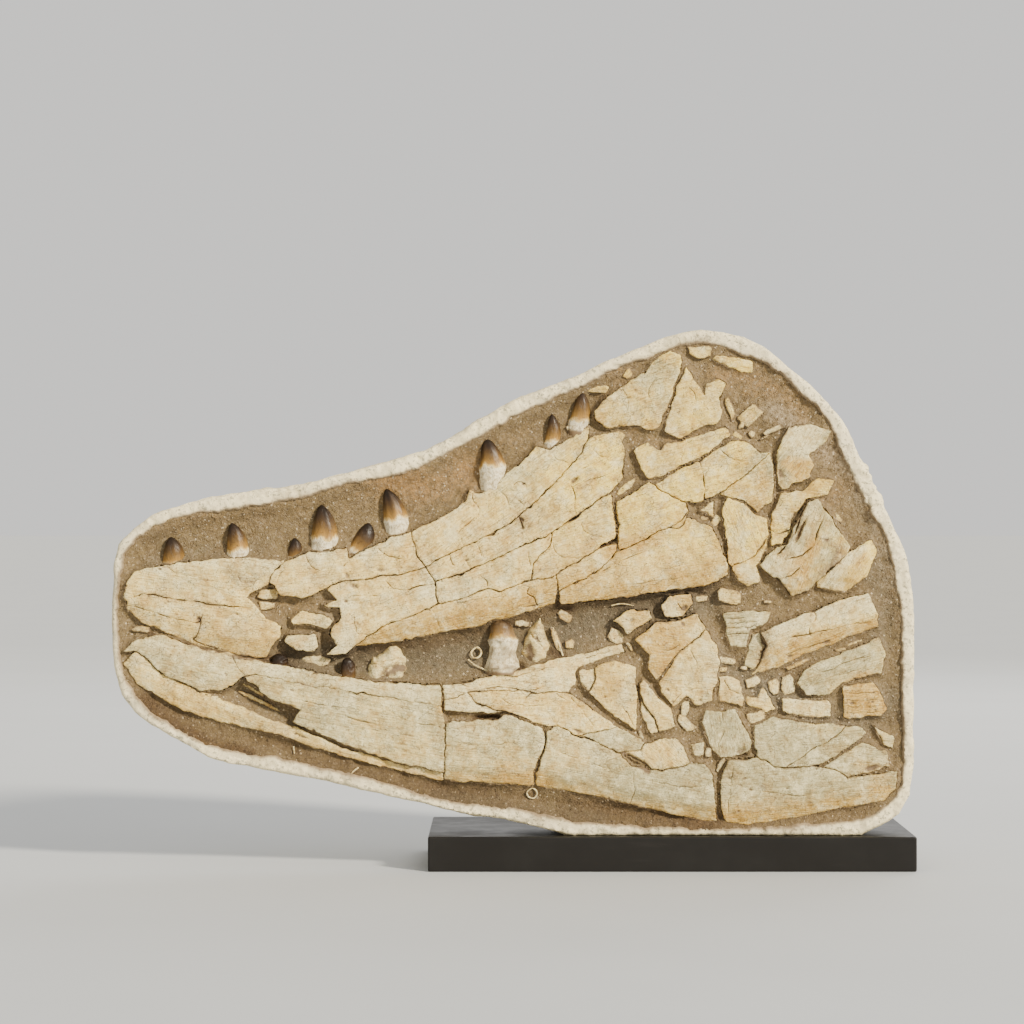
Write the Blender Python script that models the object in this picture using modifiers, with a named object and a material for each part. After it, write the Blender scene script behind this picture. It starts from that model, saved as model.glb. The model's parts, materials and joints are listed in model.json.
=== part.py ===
"""Fossil mosasaur jaws in their matrix block, standing on a museum plinth.

Two lower jaws of one mosasaur lie side by side, crushed into a mosaic of bone plates, teeth
pointing up. Rock matrix holds them in a white plaster field jacket, and the whole block stands
on edge on a flat black plinth.

The face of the block is surveyed in millimetres on a grid of its own: x runs to the right, y runs
down, and h stands out from the front of the plaster rim towards the viewer. The model itself is
in metres, with Z up, the viewer at -Y and the origin on the floor under its middle.
"""

import math
import random

import bmesh
import bpy
from mathutils import Vector

MM = 0.001

# Plinth
PLINTH_LEFT = 428.0
PLINTH_RIGHT = 916.0
PLINTH_HEIGHT = 35.0
PLINTH_DEPTH = 210.0
PLINTH_EDGE = 1.6

# Block and its place on the plinth
FLOOR_Y = 871.0
GAP = 0.3
FOOT_Y = FLOOR_Y - PLINTH_HEIGHT - GAP
RIM_SET_BACK = 9.0
FACE_Y = -(PLINTH_DEPTH / 2 - RIM_SET_BACK) * MM

# Plaster jacket: (share of the way in to the block's spine, h) of each ring of its shell
JACKET_BACK = ((0.0, -70.0), (0.07, -94.0), (0.28, -118.0), (0.58, -133.0), (0.85, -138.0))
CAVITY_BACK = ((0.0, -60.0), (0.12, -80.0), (0.40, -104.0), (0.78, -119.0))
RIM_ROUND = 2.5
SPINE = ((250.0, 645.0), (760.0, 610.0))
RIM_SAMPLES = 88
FOOT_SAMPLES = 10

# Bone plates and the matrix round them
BONE_BACK = -28.0
CRACK = 0.5
EDGE_DROP = 1.0
PLATE_GRID = 18.0
ROLLED_GRID = 10.0
MATRIX_GRID = 27.0
MATRIX_BED = -6.0
MATRIX_AT_RIM = -3.0
RIM_SLOPE = 15.0
POCKET_TOP = 40.0
FLAT_ANGLE = math.radians(0.5)
RIPPLE = 0.8

# Teeth: how far they narrow at the root, bow sideways and lean in, as shares of their length
TOOTH_SIDES = 8
TOOTH_ROOT_SHARE = 0.86
TOOTH_BOW = 0.05
TOOTH_LEAN = 0.08
TOOTH_FLATNESS = 0.8

# Chips of bone in the matrix
CHIP_CORNERS = 6
CHIP_REACH = (0.86, 1.06)
CHIP_RISE = (2.5, 4.0)
CHIP_ROOT = 14.0

# Tests of which way a face looks, and the distance below which two corners are one
FACES_VIEWER = -0.9
IS_WALL = 0.5
SAME_PLACE = 0.00002

# The long hollows of the matrix: the line each follows, its half width and its depth
HOLLOWS = (
    (((140, 545), (280, 530), (400, 505), (500, 452), (590, 405)), 26.0, 7.0),
    (((290, 655), (420, 660), (560, 628), (700, 598)), 24.0, 10.0),
    (((140, 692), (250, 742), (420, 788), (600, 812), (760, 828), (890, 806)), 16.0, 9.0),
    (((236, 690), (292, 716)), 12.0, 8.0),
)

# Middle lines of the two jaws, which their crowned fronts fall away from
UPPER_AXIS = ((130, 596), (280, 603), (420, 585), (560, 530), (700, 490))
LOWER_AXIS = ((125, 660), (300, 705), (480, 735), (620, 765), (905, 780))
CROWN_FALL = 0.0009

RIM_OUTER = (
    (568, FOOT_Y), (540, 828), (505, 819), (462, 813), (420, 803), (368, 791), (320, 780),
    (255, 768), (220, 762), (188, 746), (148, 723), (126, 703), (115, 675), (112, 640),
    (113, 575), (120, 542), (142, 521), (172, 507), (235, 493), (288, 487), (350, 472),
    (420, 452), (462, 431), (513, 400), (567, 380), (600, 364), (648, 344.5), (675, 334.5),
    (702, 329.5), (738, 335), (768, 350), (815, 389), (838, 415), (857, 447), (863, 470),
    (880, 500), (899, 537), (910, 570), (914, 620), (914, 700), (913, 775), (904, 808),
    (886, 823), (862, FOOT_Y),
)
RIM_INNER = (
    (573, 823), (545, 816), (509, 809), (464, 804), (430, 799), (385, 783), (349, 774),
    (292, 762), (260, 755), (215, 749), (185, 734), (153, 714), (134, 696), (120, 664),
    (117.5, 620), (119, 580), (127, 546), (148, 530), (180, 517), (235, 508), (295, 499),
    (355, 482), (410, 471), (470, 440), (520, 413), (580, 387), (614, 369), (655, 355),
    (682, 346), (712, 343), (738, 351), (775, 369), (802, 393), (828, 420), (842, 452),
    (862, 492), (882, 529), (895, 572), (902, 625), (903, 700), (903, 770), (897, 795),
    (880, 811), (857, 822),
)
RIM_INNER_FOOT = ((857, 822), (809, 824.5), (755, 830), (661, 829), (620, 826), (573, 823))

# Cracks that two neighbouring plates share, each along one line
TIP_END = ((285, 562), (278, 567), (270.5, 575), (267.5, 584))
SOCKET_CRACK = ((411, 531), (414, 545), (419, 558), (425, 566))
MID_CRACK = ((331, 586), (346, 580), (360, 580), (388, 575), (405, 572.5), (425, 566))
TOOTH_ROW_CRACK = (
    (425, 566), (440, 558), (470, 544), (490, 534), (515, 520.5), (545, 493), (577, 458),
    (590, 437.5),
)
STEP_CRACK = ((425, 566), (434, 581.5))
BAND_CRACK = ((434, 581.5), (462, 573.5), (490, 560.5), (518, 547.5), (551, 533.5))
TAIL_CRACK = ((551, 533.5), (565, 523.5), (582, 511.5), (600, 499.5))
NOTCH_CRACK = ((551, 533.5), (550.5, 546), (540, 556), (532, 566), (531, 580))
WALL_CRACK = ((434, 581.5), (434.5, 594), (438.5, 603.5))
SPLENIAL_CRACK = (
    (438.5, 603.5), (462, 598.5), (489, 588.5), (498, 592), (518, 585), (531, 580),
)
SPLENIAL_FRONT = ((438.5, 603.5), (410, 616.5), (390, 623.5), (376, 631.5), (354, 647))
KEEL_CRACK = ((556, 576), (572, 564), (597, 549.5))
WEDGE_CRACK = ((616, 551.5), (600, 569), (580, 580.5), (559.5, 591.5))
HINGE_CRACK = (
    (618, 551), (636, 543.5), (659, 531), (669, 528), (676, 529.5), (682, 526), (685.5, 517.5),
)
EAR_CRACK = ((655, 485.5), (668, 494), (681, 500.5))
FAN_CRACK = ((770, 452), (761, 461), (746, 474.5), (718, 493.5))
KNEE_CRACK = ((769, 536), (756.5, 553.5), (732, 567))
SHELF_CRACK = ((243, 677), (262, 675.5), (293, 683.5), (350, 691.5), (407, 700.5), (441, 707))
LAMINA_CRACK = ((467, 692), (499, 690.5), (541, 692.5), (568, 692))
LIP_CRACK = ((467, 692), (474, 702), (504, 712))
WEDGE_BASE = ((617, 727), (592, 733.5), (579, 735.5), (557, 727))
COMB_CRACK = ((579, 735.5), (600, 745), (619, 752))
FORAMEN_CRACK = ((619, 752), (641, 749.5), (646, 742))
BLOCK_CRACK = ((653, 770), (681, 768), (691, 763))
RIB_CRACK = ((756, 757), (767, 762), (775, 768), (818, 766), (838, 771), (848, 777))
KNOB_CRACK = ((848, 552), (839, 561.5), (830.5, 569), (817, 583))
SPONGY_CRACK = ((760.5, 632), (766.5, 646), (757, 667))
SLANT_CRACK = ((641, 700), (653, 715), (659.5, 732.5))
GREY_CRACK = ((672, 659), (690, 644), (706, 630))
HEART_CRACK = ((593, 667), (595, 679), (588, 693))

PLASTER = ("jacket_plaster", (0.86, 0.83, 0.74), 0.85)
SANDSTONE = ("matrix_sandstone", (0.46, 0.37, 0.27), 0.95)
CREAM_BONE = ("bone_cream", (0.84, 0.76, 0.60), 0.6)
GREY_BONE = ("bone_grey", (0.74, 0.71, 0.62), 0.65)
OCHRE_BONE = ("bone_ochre", (0.76, 0.60, 0.37), 0.6)
WHITE_BONE = ("bone_white", (0.86, 0.84, 0.79), 0.6)
BLACK_PLINTH = ("plinth_black", (0.012, 0.011, 0.010), 0.35)


def arc_resample(points, count):
    """Points spread evenly along a line, both of its ends kept."""
    lengths = [0.0]
    for a, b in zip(points, points[1:]):
        lengths.append(lengths[-1] + math.dist(a, b))
    result = []
    segment = 0
    for step in range(count):
        along = lengths[-1] * step / (count - 1)
        while segment < len(points) - 2 and lengths[segment + 1] < along:
            segment += 1
        a, b = points[segment], points[segment + 1]
        t = (along - lengths[segment]) / (lengths[segment + 1] - lengths[segment])
        result.append((a[0] + (b[0] - a[0]) * t, a[1] + (b[1] - a[1]) * t))
    return result


def smooth_line(points, steps=6):
    """A line curving through its points, each stretch a Catmull-Rom arc."""
    padded = (points[0], *points, points[-1])
    result = [points[0]]
    for p0, p1, p2, p3 in zip(padded, padded[1:], padded[2:], padded[3:]):
        for step in range(1, steps + 1):
            t = step / steps
            result.append(tuple(
                0.5 * (2 * b + (c - a) * t + (2 * a - 5 * b + 4 * c - d) * t ** 2
                       + (3 * b - a - 3 * c + d) * t ** 3)
                for a, b, c, d in zip(p0, p1, p2, p3)
            ))
    return result


def rim_outline(points, foot):
    """The closed outline of a rim: a smooth line over the top, and its foot."""
    return arc_resample(smooth_line(points), RIM_SAMPLES) + arc_resample(foot, FOOT_SAMPLES)[1:-1]


def signed_area(outline):
    """Twice the area of an outline, positive where it runs clockwise as the viewer sees it."""
    return sum(a[0] * b[1] - b[0] * a[1] for a, b in zip(outline, outline[1:] + outline[:1]))


def inset(outline, distance):
    """The outline moved inwards by a distance, its corners mitred, outwards if negative."""
    outline = list(outline)
    turn = 1.0 if signed_area(outline) > 0 else -1.0
    sharpest = 0.08 if distance > 0 else 0.6
    result = []
    for i, point in enumerate(outline):
        before = Vector(outline[i - 1])
        here = Vector(point)
        after = Vector(outline[(i + 1) % len(outline)])
        first = (here - before).normalized()
        second = (after - here).normalized()
        normal_a = Vector((-first.y, first.x)) * turn
        normal_b = Vector((-second.y, second.x)) * turn
        mitre = normal_a + normal_b
        scale = 2.0 / max(mitre.length_squared, sharpest)
        result.append(tuple(here + mitre * scale * distance))
    return result


def distance_to_line(x, y, line):
    """The distance from a place on the face to a line of points."""
    place = Vector((x, y))
    nearest = math.inf
    for a, b in zip(line, line[1:]):
        start = Vector(a)
        along = Vector(b) - start
        t = min(1.0, max(0.0, (place - start).dot(along) / along.length_squared))
        nearest = min(nearest, (place - start - along * t).length)
    return nearest


def smooth_step(t):
    """An even rise from 0 to 1."""
    t = min(1.0, max(0.0, t))
    return t * t * (3.0 - 2.0 * t)


OUTER = rim_outline(RIM_OUTER, (RIM_OUTER[-1], RIM_OUTER[0]))
INNER = rim_outline(RIM_INNER, RIM_INNER_FOOT)
CENTRE_X = (min(x for x, y in OUTER) + PLINTH_RIGHT) / 2


def place(x, y, h):
    """A place of the survey grid in the model's own frame."""
    return Vector(((x - CENTRE_X) * MM, FACE_Y - h * MM, (FLOOR_Y - y) * MM))


def survey_x(position):
    """The survey x of a position in the model's frame."""
    return position.x / MM + CENTRE_X


def survey_y(position):
    """The survey y of a position in the model's frame."""
    return FLOOR_Y - position.z / MM


def make_collection(name):
    collection = bpy.data.collections.new(name)
    bpy.context.scene.collection.children.link(collection)
    return collection


def make_material(finish):
    """The Principled material of a finish, made once."""
    name, colour, roughness = finish
    if name in bpy.data.materials:
        return bpy.data.materials[name]
    material = bpy.data.materials.new(name)
    material.use_nodes = True
    shader = material.node_tree.nodes["Principled BSDF"]
    shader.inputs["Base Color"].default_value = (*colour, 1.0)
    shader.inputs["Roughness"].default_value = roughness
    shader.inputs["Metallic"].default_value = 0.0
    return material


def make_object(name, bm, collection, finish=None):
    """An object holding a finished bmesh."""
    mesh = bpy.data.meshes.new(name)
    bm.to_mesh(mesh)
    bm.free()
    obj = bpy.data.objects.new(name, mesh)
    collection.objects.link(obj)
    if finish:
        mesh.materials.append(make_material(finish))
    return obj


def combine(obj, others, operation):
    """Join a collection's closed solids to an object, or cut them from it, and remove them."""
    modifier = obj.modifiers.new(operation.lower(), "BOOLEAN")
    modifier.operation = operation
    modifier.solver = "MANIFOLD"
    modifier.operand_type = "COLLECTION"
    modifier.collection = others
    depsgraph = bpy.context.evaluated_depsgraph_get()
    result = bpy.data.meshes.new_from_object(obj.evaluated_get(depsgraph))
    obj.modifiers.clear()
    obj.data = result
    for other in list(others.objects):
        bpy.data.objects.remove(other, do_unlink=True)


def keep_largest(obj):
    """Leave an object its largest closed surface alone, its doubles merged."""
    bm = bmesh.new()
    bm.from_mesh(obj.data)
    bmesh.ops.remove_doubles(bm, verts=bm.verts, dist=SAME_PLACE)
    bmesh.ops.dissolve_degenerate(bm, dist=SAME_PLACE / 2, edges=bm.edges)
    islands = []
    waiting = set(bm.faces)
    while waiting:
        island = {waiting.pop()}
        front = list(island)
        while front:
            face = front.pop()
            for edge in face.edges:
                for other in edge.link_faces:
                    if other in waiting:
                        waiting.remove(other)
                        island.add(other)
                        front.append(other)
        islands.append(island)
    largest = max(islands, key=lambda faces: sum(face.calc_area() for face in faces))
    loose = [face for face in bm.faces if face not in largest]
    bmesh.ops.delete(bm, geom=loose, context="FACES")
    bmesh.ops.dissolve_limit(
        bm, angle_limit=FLAT_ANGLE, use_dissolve_boundaries=False, verts=bm.verts,
        edges=bm.edges)
    bmesh.ops.triangulate(bm, faces=bm.faces)
    bm.to_mesh(obj.data)
    bm.free()


def slab(outline, back, front):
    """A straight-walled slab of an outline, from one depth of the face to another."""
    bm = bmesh.new()
    corners = [bm.verts.new(place(x, y, back)) for x, y in outline]
    face = bm.faces.new(corners)
    extruded = bmesh.ops.extrude_face_region(bm, geom=[face], use_keep_orig=True)
    moved = [item for item in extruded["geom"] if isinstance(item, bmesh.types.BMVert)]
    bmesh.ops.translate(bm, verts=moved, vec=(0, -(front - back) * MM, 0))
    bmesh.ops.recalc_face_normals(bm, faces=bm.faces)
    return bm


def loft(rings):
    """A closed skin over rings of equally many places, capped at both ends."""
    bm = bmesh.new()
    loops = [[bm.verts.new(point) for point in ring] for ring in rings]
    for lower, upper in zip(loops, loops[1:]):
        for i in range(len(lower)):
            j = (i + 1) % len(lower)
            bm.faces.new((lower[i], lower[j], upper[j], upper[i]))
    bm.faces.new(loops[0])
    bm.faces.new(loops[-1])
    bmesh.ops.recalc_face_normals(bm, faces=bm.faces)
    return bm


def front_faces(bm):
    """The faces that look at the viewer."""
    return [face for face in bm.faces if face.normal.y < FACES_VIEWER]


def cut_grid(bm, step):
    """Cut the front of a solid along the lines of the survey grid."""
    xs = [survey_x(vert.co) for vert in bm.verts]
    ys = [survey_y(vert.co) for vert in bm.verts]
    for axis, low, high in ((0, min(xs), max(xs)), (1, min(ys), max(ys))):
        line = math.ceil(low / step) * step
        while line < high:
            faces = front_faces(bm)
            geometry = set(faces)
            for face in faces:
                geometry.update(face.edges, face.verts)
            on_line = place(line, 0, 0) if axis == 0 else place(0, line, 0)
            across = (1, 0, 0) if axis == 0 else (0, 0, 1)
            bmesh.ops.bisect_plane(
                bm, geom=list(geometry), dist=SAME_PLACE, plane_co=on_line, plane_no=across)
            line += step


def shape_front(bm, height_at, edge_drop):
    """Set the front of a solid to a height of the face at each place, its edges lower."""
    heights = {}
    for face in front_faces(bm):
        for vert in face.verts:
            at_edge = any(abs(other.normal.y) < IS_WALL for other in vert.link_faces)
            h = height_at(survey_x(vert.co), survey_y(vert.co))
            heights[vert] = h - edge_drop if at_edge else h
    for vert, h in heights.items():
        vert.co.y = FACE_Y - h * MM
    bmesh.ops.triangulate(bm, faces=bm.faces)
    bmesh.ops.recalc_face_normals(bm, faces=bm.faces)


def to_spine(x, y, share, h):
    """A place moved a share of the way in to the spine of the block's domed back."""
    (x0, y0), (x1, y1) = SPINE
    t = min(1.0, max(0.0, (x - x0) / (x1 - x0)))
    nearest_y = y0 + (y1 - y0) * t
    nearest_x = min(x1, max(x0, x))
    return place(x + (nearest_x - x) * share, y + (nearest_y - y) * share, h)


def build_jacket(collection):
    """The plaster shell: domed behind, rounded over its rim, with a cavity for the matrix."""
    rings = [[to_spine(x, y, share, h) for x, y in OUTER] for share, h in reversed(JACKET_BACK)]
    rings.append([place(x, y, -RIM_ROUND) for x, y in OUTER])
    rings.append([place(x, y, -RIM_ROUND / 4) for x, y in inset(OUTER, RIM_ROUND / 4)])
    rings.append([place(x, y, 0) for x, y in inset(OUTER, RIM_ROUND)])
    rings.append([place(x, y, -RIM_ROUND / 4) for x, y in inset(INNER, -RIM_ROUND / 4)])
    rings.append([place(x, y, -RIM_ROUND) for x, y in INNER])
    rings.extend([to_spine(x, y, share, h) for x, y in INNER] for share, h in CAVITY_BACK)
    bm = loft(rings)
    bmesh.ops.triangulate(bm, faces=bm.faces)
    return make_object("jacket", bm, collection, PLASTER)


def matrix_height(x, y):
    """The height of the matrix: a sandy bed with long hollows, rising to the rim."""
    h = MATRIX_BED
    for line, half_width, depth in HOLLOWS:
        h -= depth * math.exp(-(distance_to_line(x, y, line) / half_width) ** 2)
    h += RIPPLE * math.sin(x / 17.0 + y / 23.0) * math.cos(y / 13.0 - x / 41.0)
    from_rim = distance_to_line(x, y, INNER + INNER[:1])
    return MATRIX_AT_RIM + (h - MATRIX_AT_RIM) * smooth_step(from_rim / RIM_SLOPE)


def tooth_solid(tooth, grow=0.0):
    """A tooth: rings that narrow from its root to its tip, bent back a little."""
    (tip_x, tip_y), (base_x, base_y), width, axis, root, profile = tooth
    length = math.dist((tip_x, tip_y), (base_x, base_y))
    along = Vector(((tip_x - base_x) / length, (tip_y - base_y) / length))
    side = Vector((-along.y, along.x))
    stations = [(-root / length, TOOTH_ROOT_SHARE)] + list(profile)
    rings = []
    for t, share in stations:
        radius = width / 2 * share + grow
        reach = t * length + (grow if t >= 1.0 else 0.0) - (grow if t < 0.0 else 0.0)
        bow = TOOTH_BOW * length * math.sin(math.pi * min(1.0, max(0.0, t)))
        centre = Vector((base_x, base_y)) + along * reach + side * bow
        h = axis - TOOTH_LEAN * length * max(0.0, t)
        ring = []
        for k in range(TOOTH_SIDES):
            turn = 2 * math.pi * k / TOOTH_SIDES
            flat = centre + side * radius * math.cos(turn)
            ring.append(place(flat.x, flat.y, h + TOOTH_FLATNESS * radius * math.sin(turn)))
        rings.append(ring)
    bm = loft(rings)
    bmesh.ops.triangulate(bm, faces=bm.faces)
    return bm


SHARP = ((0.0, 1.0), (0.3, 0.93), (0.55, 0.76), (0.78, 0.48), (0.93, 0.22), (1.0, 0.07))
BLUNT = ((0.0, 1.0), (0.35, 0.9), (0.7, 0.76), (0.9, 0.55), (1.0, 0.25))
STUMP = ((0.0, 1.0), (0.5, 0.94), (0.85, 0.78), (1.0, 0.5))


def tooth(tip, base, width, axis=-11.0, root=9.0, profile=SHARP):
    """The sizes of one tooth: its tip, the middle of its base, its width and its depth."""
    return tip, base, width, axis, root, profile


def bone_height(x, y, height, tilt, centre, axis, rolls):
    """The height of a bone's front: its own level and tilt, crowned, rolled over at edges."""
    h = height + tilt[0] * (x - centre[0]) + tilt[1] * (y - centre[1])
    if axis:
        h -= CROWN_FALL * distance_to_line(x, y, axis) ** 2
    for line, radius, drop in rolls:
        t = max(0.0, 1.0 - distance_to_line(x, y, line) / radius)
        h -= drop * (1.0 - math.sqrt(1.0 - t * t))
    return h


class Fossil:
    """The bones laid so far, and the pockets that the matrix needs for them."""

    def __init__(self, collection, cutters):
        self.collection = collection
        self.cutters = cutters

    def pocket(self, name, bm):
        """Keep a cutter for the matrix."""
        cutter = make_object(name + "_pocket", bm, self.cutters)
        cutter.hide_render = True
        cutter.display_type = "WIRE"

    def bone(self, name, outline, finish, height, tilt=(0.0, 0.0), axis=None, rolls=(), teeth=()):
        """Lay one plate of bone, with the teeth that grow from it, and cut its pocket."""
        outline = list(outline)
        xs = [x for x, y in outline]
        ys = [y for x, y in outline]
        centre = ((min(xs) + max(xs)) / 2, (min(ys) + max(ys)) / 2)
        bm = slab(inset(outline, CRACK / 2), BONE_BACK, height)
        cut_grid(bm, ROLLED_GRID if rolls else PLATE_GRID)
        shape_front(
            bm, lambda x, y: bone_height(x, y, height, tilt, centre, axis, rolls), EDGE_DROP)
        plate = make_object(name, bm, self.collection, finish)
        growing = make_collection(name + "_teeth")
        for number, sizes in enumerate(teeth):
            make_object(f"{name}_tooth_{number}", tooth_solid(sizes), growing)
            self.pocket(f"{name}_tooth_{number}", tooth_solid(sizes, GAP))
        if teeth:
            combine(plate, growing, "UNION")
            keep_largest(plate)
        bpy.data.collections.remove(growing)
        grown = inset(outline, CRACK / 2 - GAP)
        self.pocket(name, slab(grown, BONE_BACK - GAP, POCKET_TOP))
        return plate


def lay_upper_jaw(fossil):
    """The upper of the two jaws: the tooth-bearing dentary, and the plates below it."""
    axis = UPPER_AXIS
    tip_keel = ((127, 609), (142, 622.5), (180, 639), (225, 649.5), (266, 656))
    fossil.bone(
        "upper_dentary_tip",
        (*TIP_END, (246, 597), (257, 608), (268, 621), (281, 626), (280, 637), (268, 650),
         *reversed(tip_keel), (125, 593), (128, 580), (134, 571), (155, 567), (192, 561),
         (247, 558)),
        CREAM_BONE, 5.0, axis=axis, rolls=((tip_keel, 13.0, 10.0),),
        teeth=(tooth((170, 537), (172, 563), 22), tooth((231, 523), (237, 557), 22)))
    fossil.bone(
        "upper_dentary_front",
        (*TIP_END, (275, 586), (280, 597), (302, 598), (322, 591.5), *MID_CRACK,
         *reversed(SOCKET_CRACK[:-1]), (390, 537), (368, 549), (349, 558), (347, 548),
         (308, 551.5)),
        CREAM_BONE, 5.2, axis=axis,
        teeth=(tooth((294, 538), (294, 557), 15), tooth((321, 505), (323, 548), 27),
               tooth((369, 523), (358, 553), 24), tooth((386, 489), (397, 532), 25)))
    fossil.bone(
        "upper_dentary_middle",
        (*SOCKET_CRACK, *TOOTH_ROW_CRACK[1:], (589, 425), (565, 441), (550, 450), (536, 446.5),
         (522, 462.5), (508, 471), (494, 488), (478, 494), (469, 490), (465, 502), (450, 513),
         (430, 523)),
        CREAM_BONE, 4.6, axis=axis,
        teeth=(tooth((486, 438), (493, 488), 28), tooth((552, 414), (552, 446), 16),
               tooth((582, 391), (578, 428), 20)))
    fossil.bone(
        "upper_dentary_rear",
        (*TOOTH_ROW_CRACK, (600, 434), (618, 431.5), (626, 435), (622, 441), (625, 452),
         (622, 482), *reversed(TAIL_CRACK), *reversed(BAND_CRACK[:-1])),
        CREAM_BONE, 5.4, axis=axis)
    fossil.bone(
        "upper_dentary_wall",
        (*TAIL_CRACK, (612, 493), (613, 510), (616, 537), *reversed(KEEL_CRACK),
         (543, 579.5), *reversed(NOTCH_CRACK[1:])),
        CREAM_BONE, 4.4, tilt=(0.01, 0.0), axis=axis)
    fossil.bone(
        "upper_dentary_keel",
        (*KEEL_CRACK, (616.5, 543.5), *WEDGE_CRACK, (557.5, 584)),
        CREAM_BONE, 4.6, axis=axis)
    front_keel = ((354, 647), (345, 654.5), (326, 654.5))
    fossil.bone(
        "upper_splenial_front",
        (*MID_CRACK, *STEP_CRACK[1:], *WALL_CRACK[1:], *SPLENIAL_FRONT[1:-1], *front_keel,
         (337, 645), (328, 634), (339.5, 618), (339, 608), (321, 607), (336.5, 600.5),
         (327, 590)),
        CREAM_BONE, 5.0, axis=axis, rolls=((front_keel, 9.0, 5.0),))
    fossil.bone(
        "upper_splenial_middle",
        (*BAND_CRACK, *NOTCH_CRACK[1:], *reversed(SPLENIAL_CRACK[:-1]),
         *reversed(WALL_CRACK[1:-1])),
        CREAM_BONE, 4.4, axis=axis)
    lower_edge = ((556, 604), (532, 611), (510, 618.5), (476, 626), (448, 631.5), (420, 637),
                  (383, 643.5), (354, 647))
    fossil.bone(
        "upper_splenial_keel",
        (*SPLENIAL_CRACK, (543, 579.5), (556, 576), (558, 591.5), *lower_edge,
         *reversed(SPLENIAL_FRONT[1:-1])),
        OCHRE_BONE, 4.6, axis=axis, rolls=((lower_edge, 13.0, 11.0),))
    fossil.bone(
        "upper_angular_front",
        (*HINGE_CRACK, (687.5, 512), (687.5, 504), *reversed(EAR_CRACK), (649, 482.5),
         (631, 494), (615.5, 503), (617.5, 531)),
        CREAM_BONE, 4.2, tilt=(0.015, 0.0))
    rear_edge = ((729, 574), (713, 583), (694, 588), (668, 591), (636, 596), (585, 602),
                 (561, 605))
    fossil.bone(
        "upper_angular_rear",
        (*HINGE_CRACK, (690, 518.5), (713, 527), (718, 542.5), (727, 562),
         *rear_edge, *reversed(WEDGE_CRACK)),
        CREAM_BONE, 5.0, tilt=(0.0, 0.01), rolls=((rear_edge, 14.0, 12.0),))
    fossil.bone(
        "upper_chip_long",
        ((290, 620), (300, 610), (322, 614), (334, 621), (325, 629.5), (308, 626), (293, 624)),
        CREAM_BONE, 0.5)
    fossil.bone(
        "upper_chip_white",
        ((284, 641), (287, 635.5), (316, 635), (318, 647), (314, 652.5), (296, 650.5)),
        WHITE_BONE, 0.0)


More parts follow.
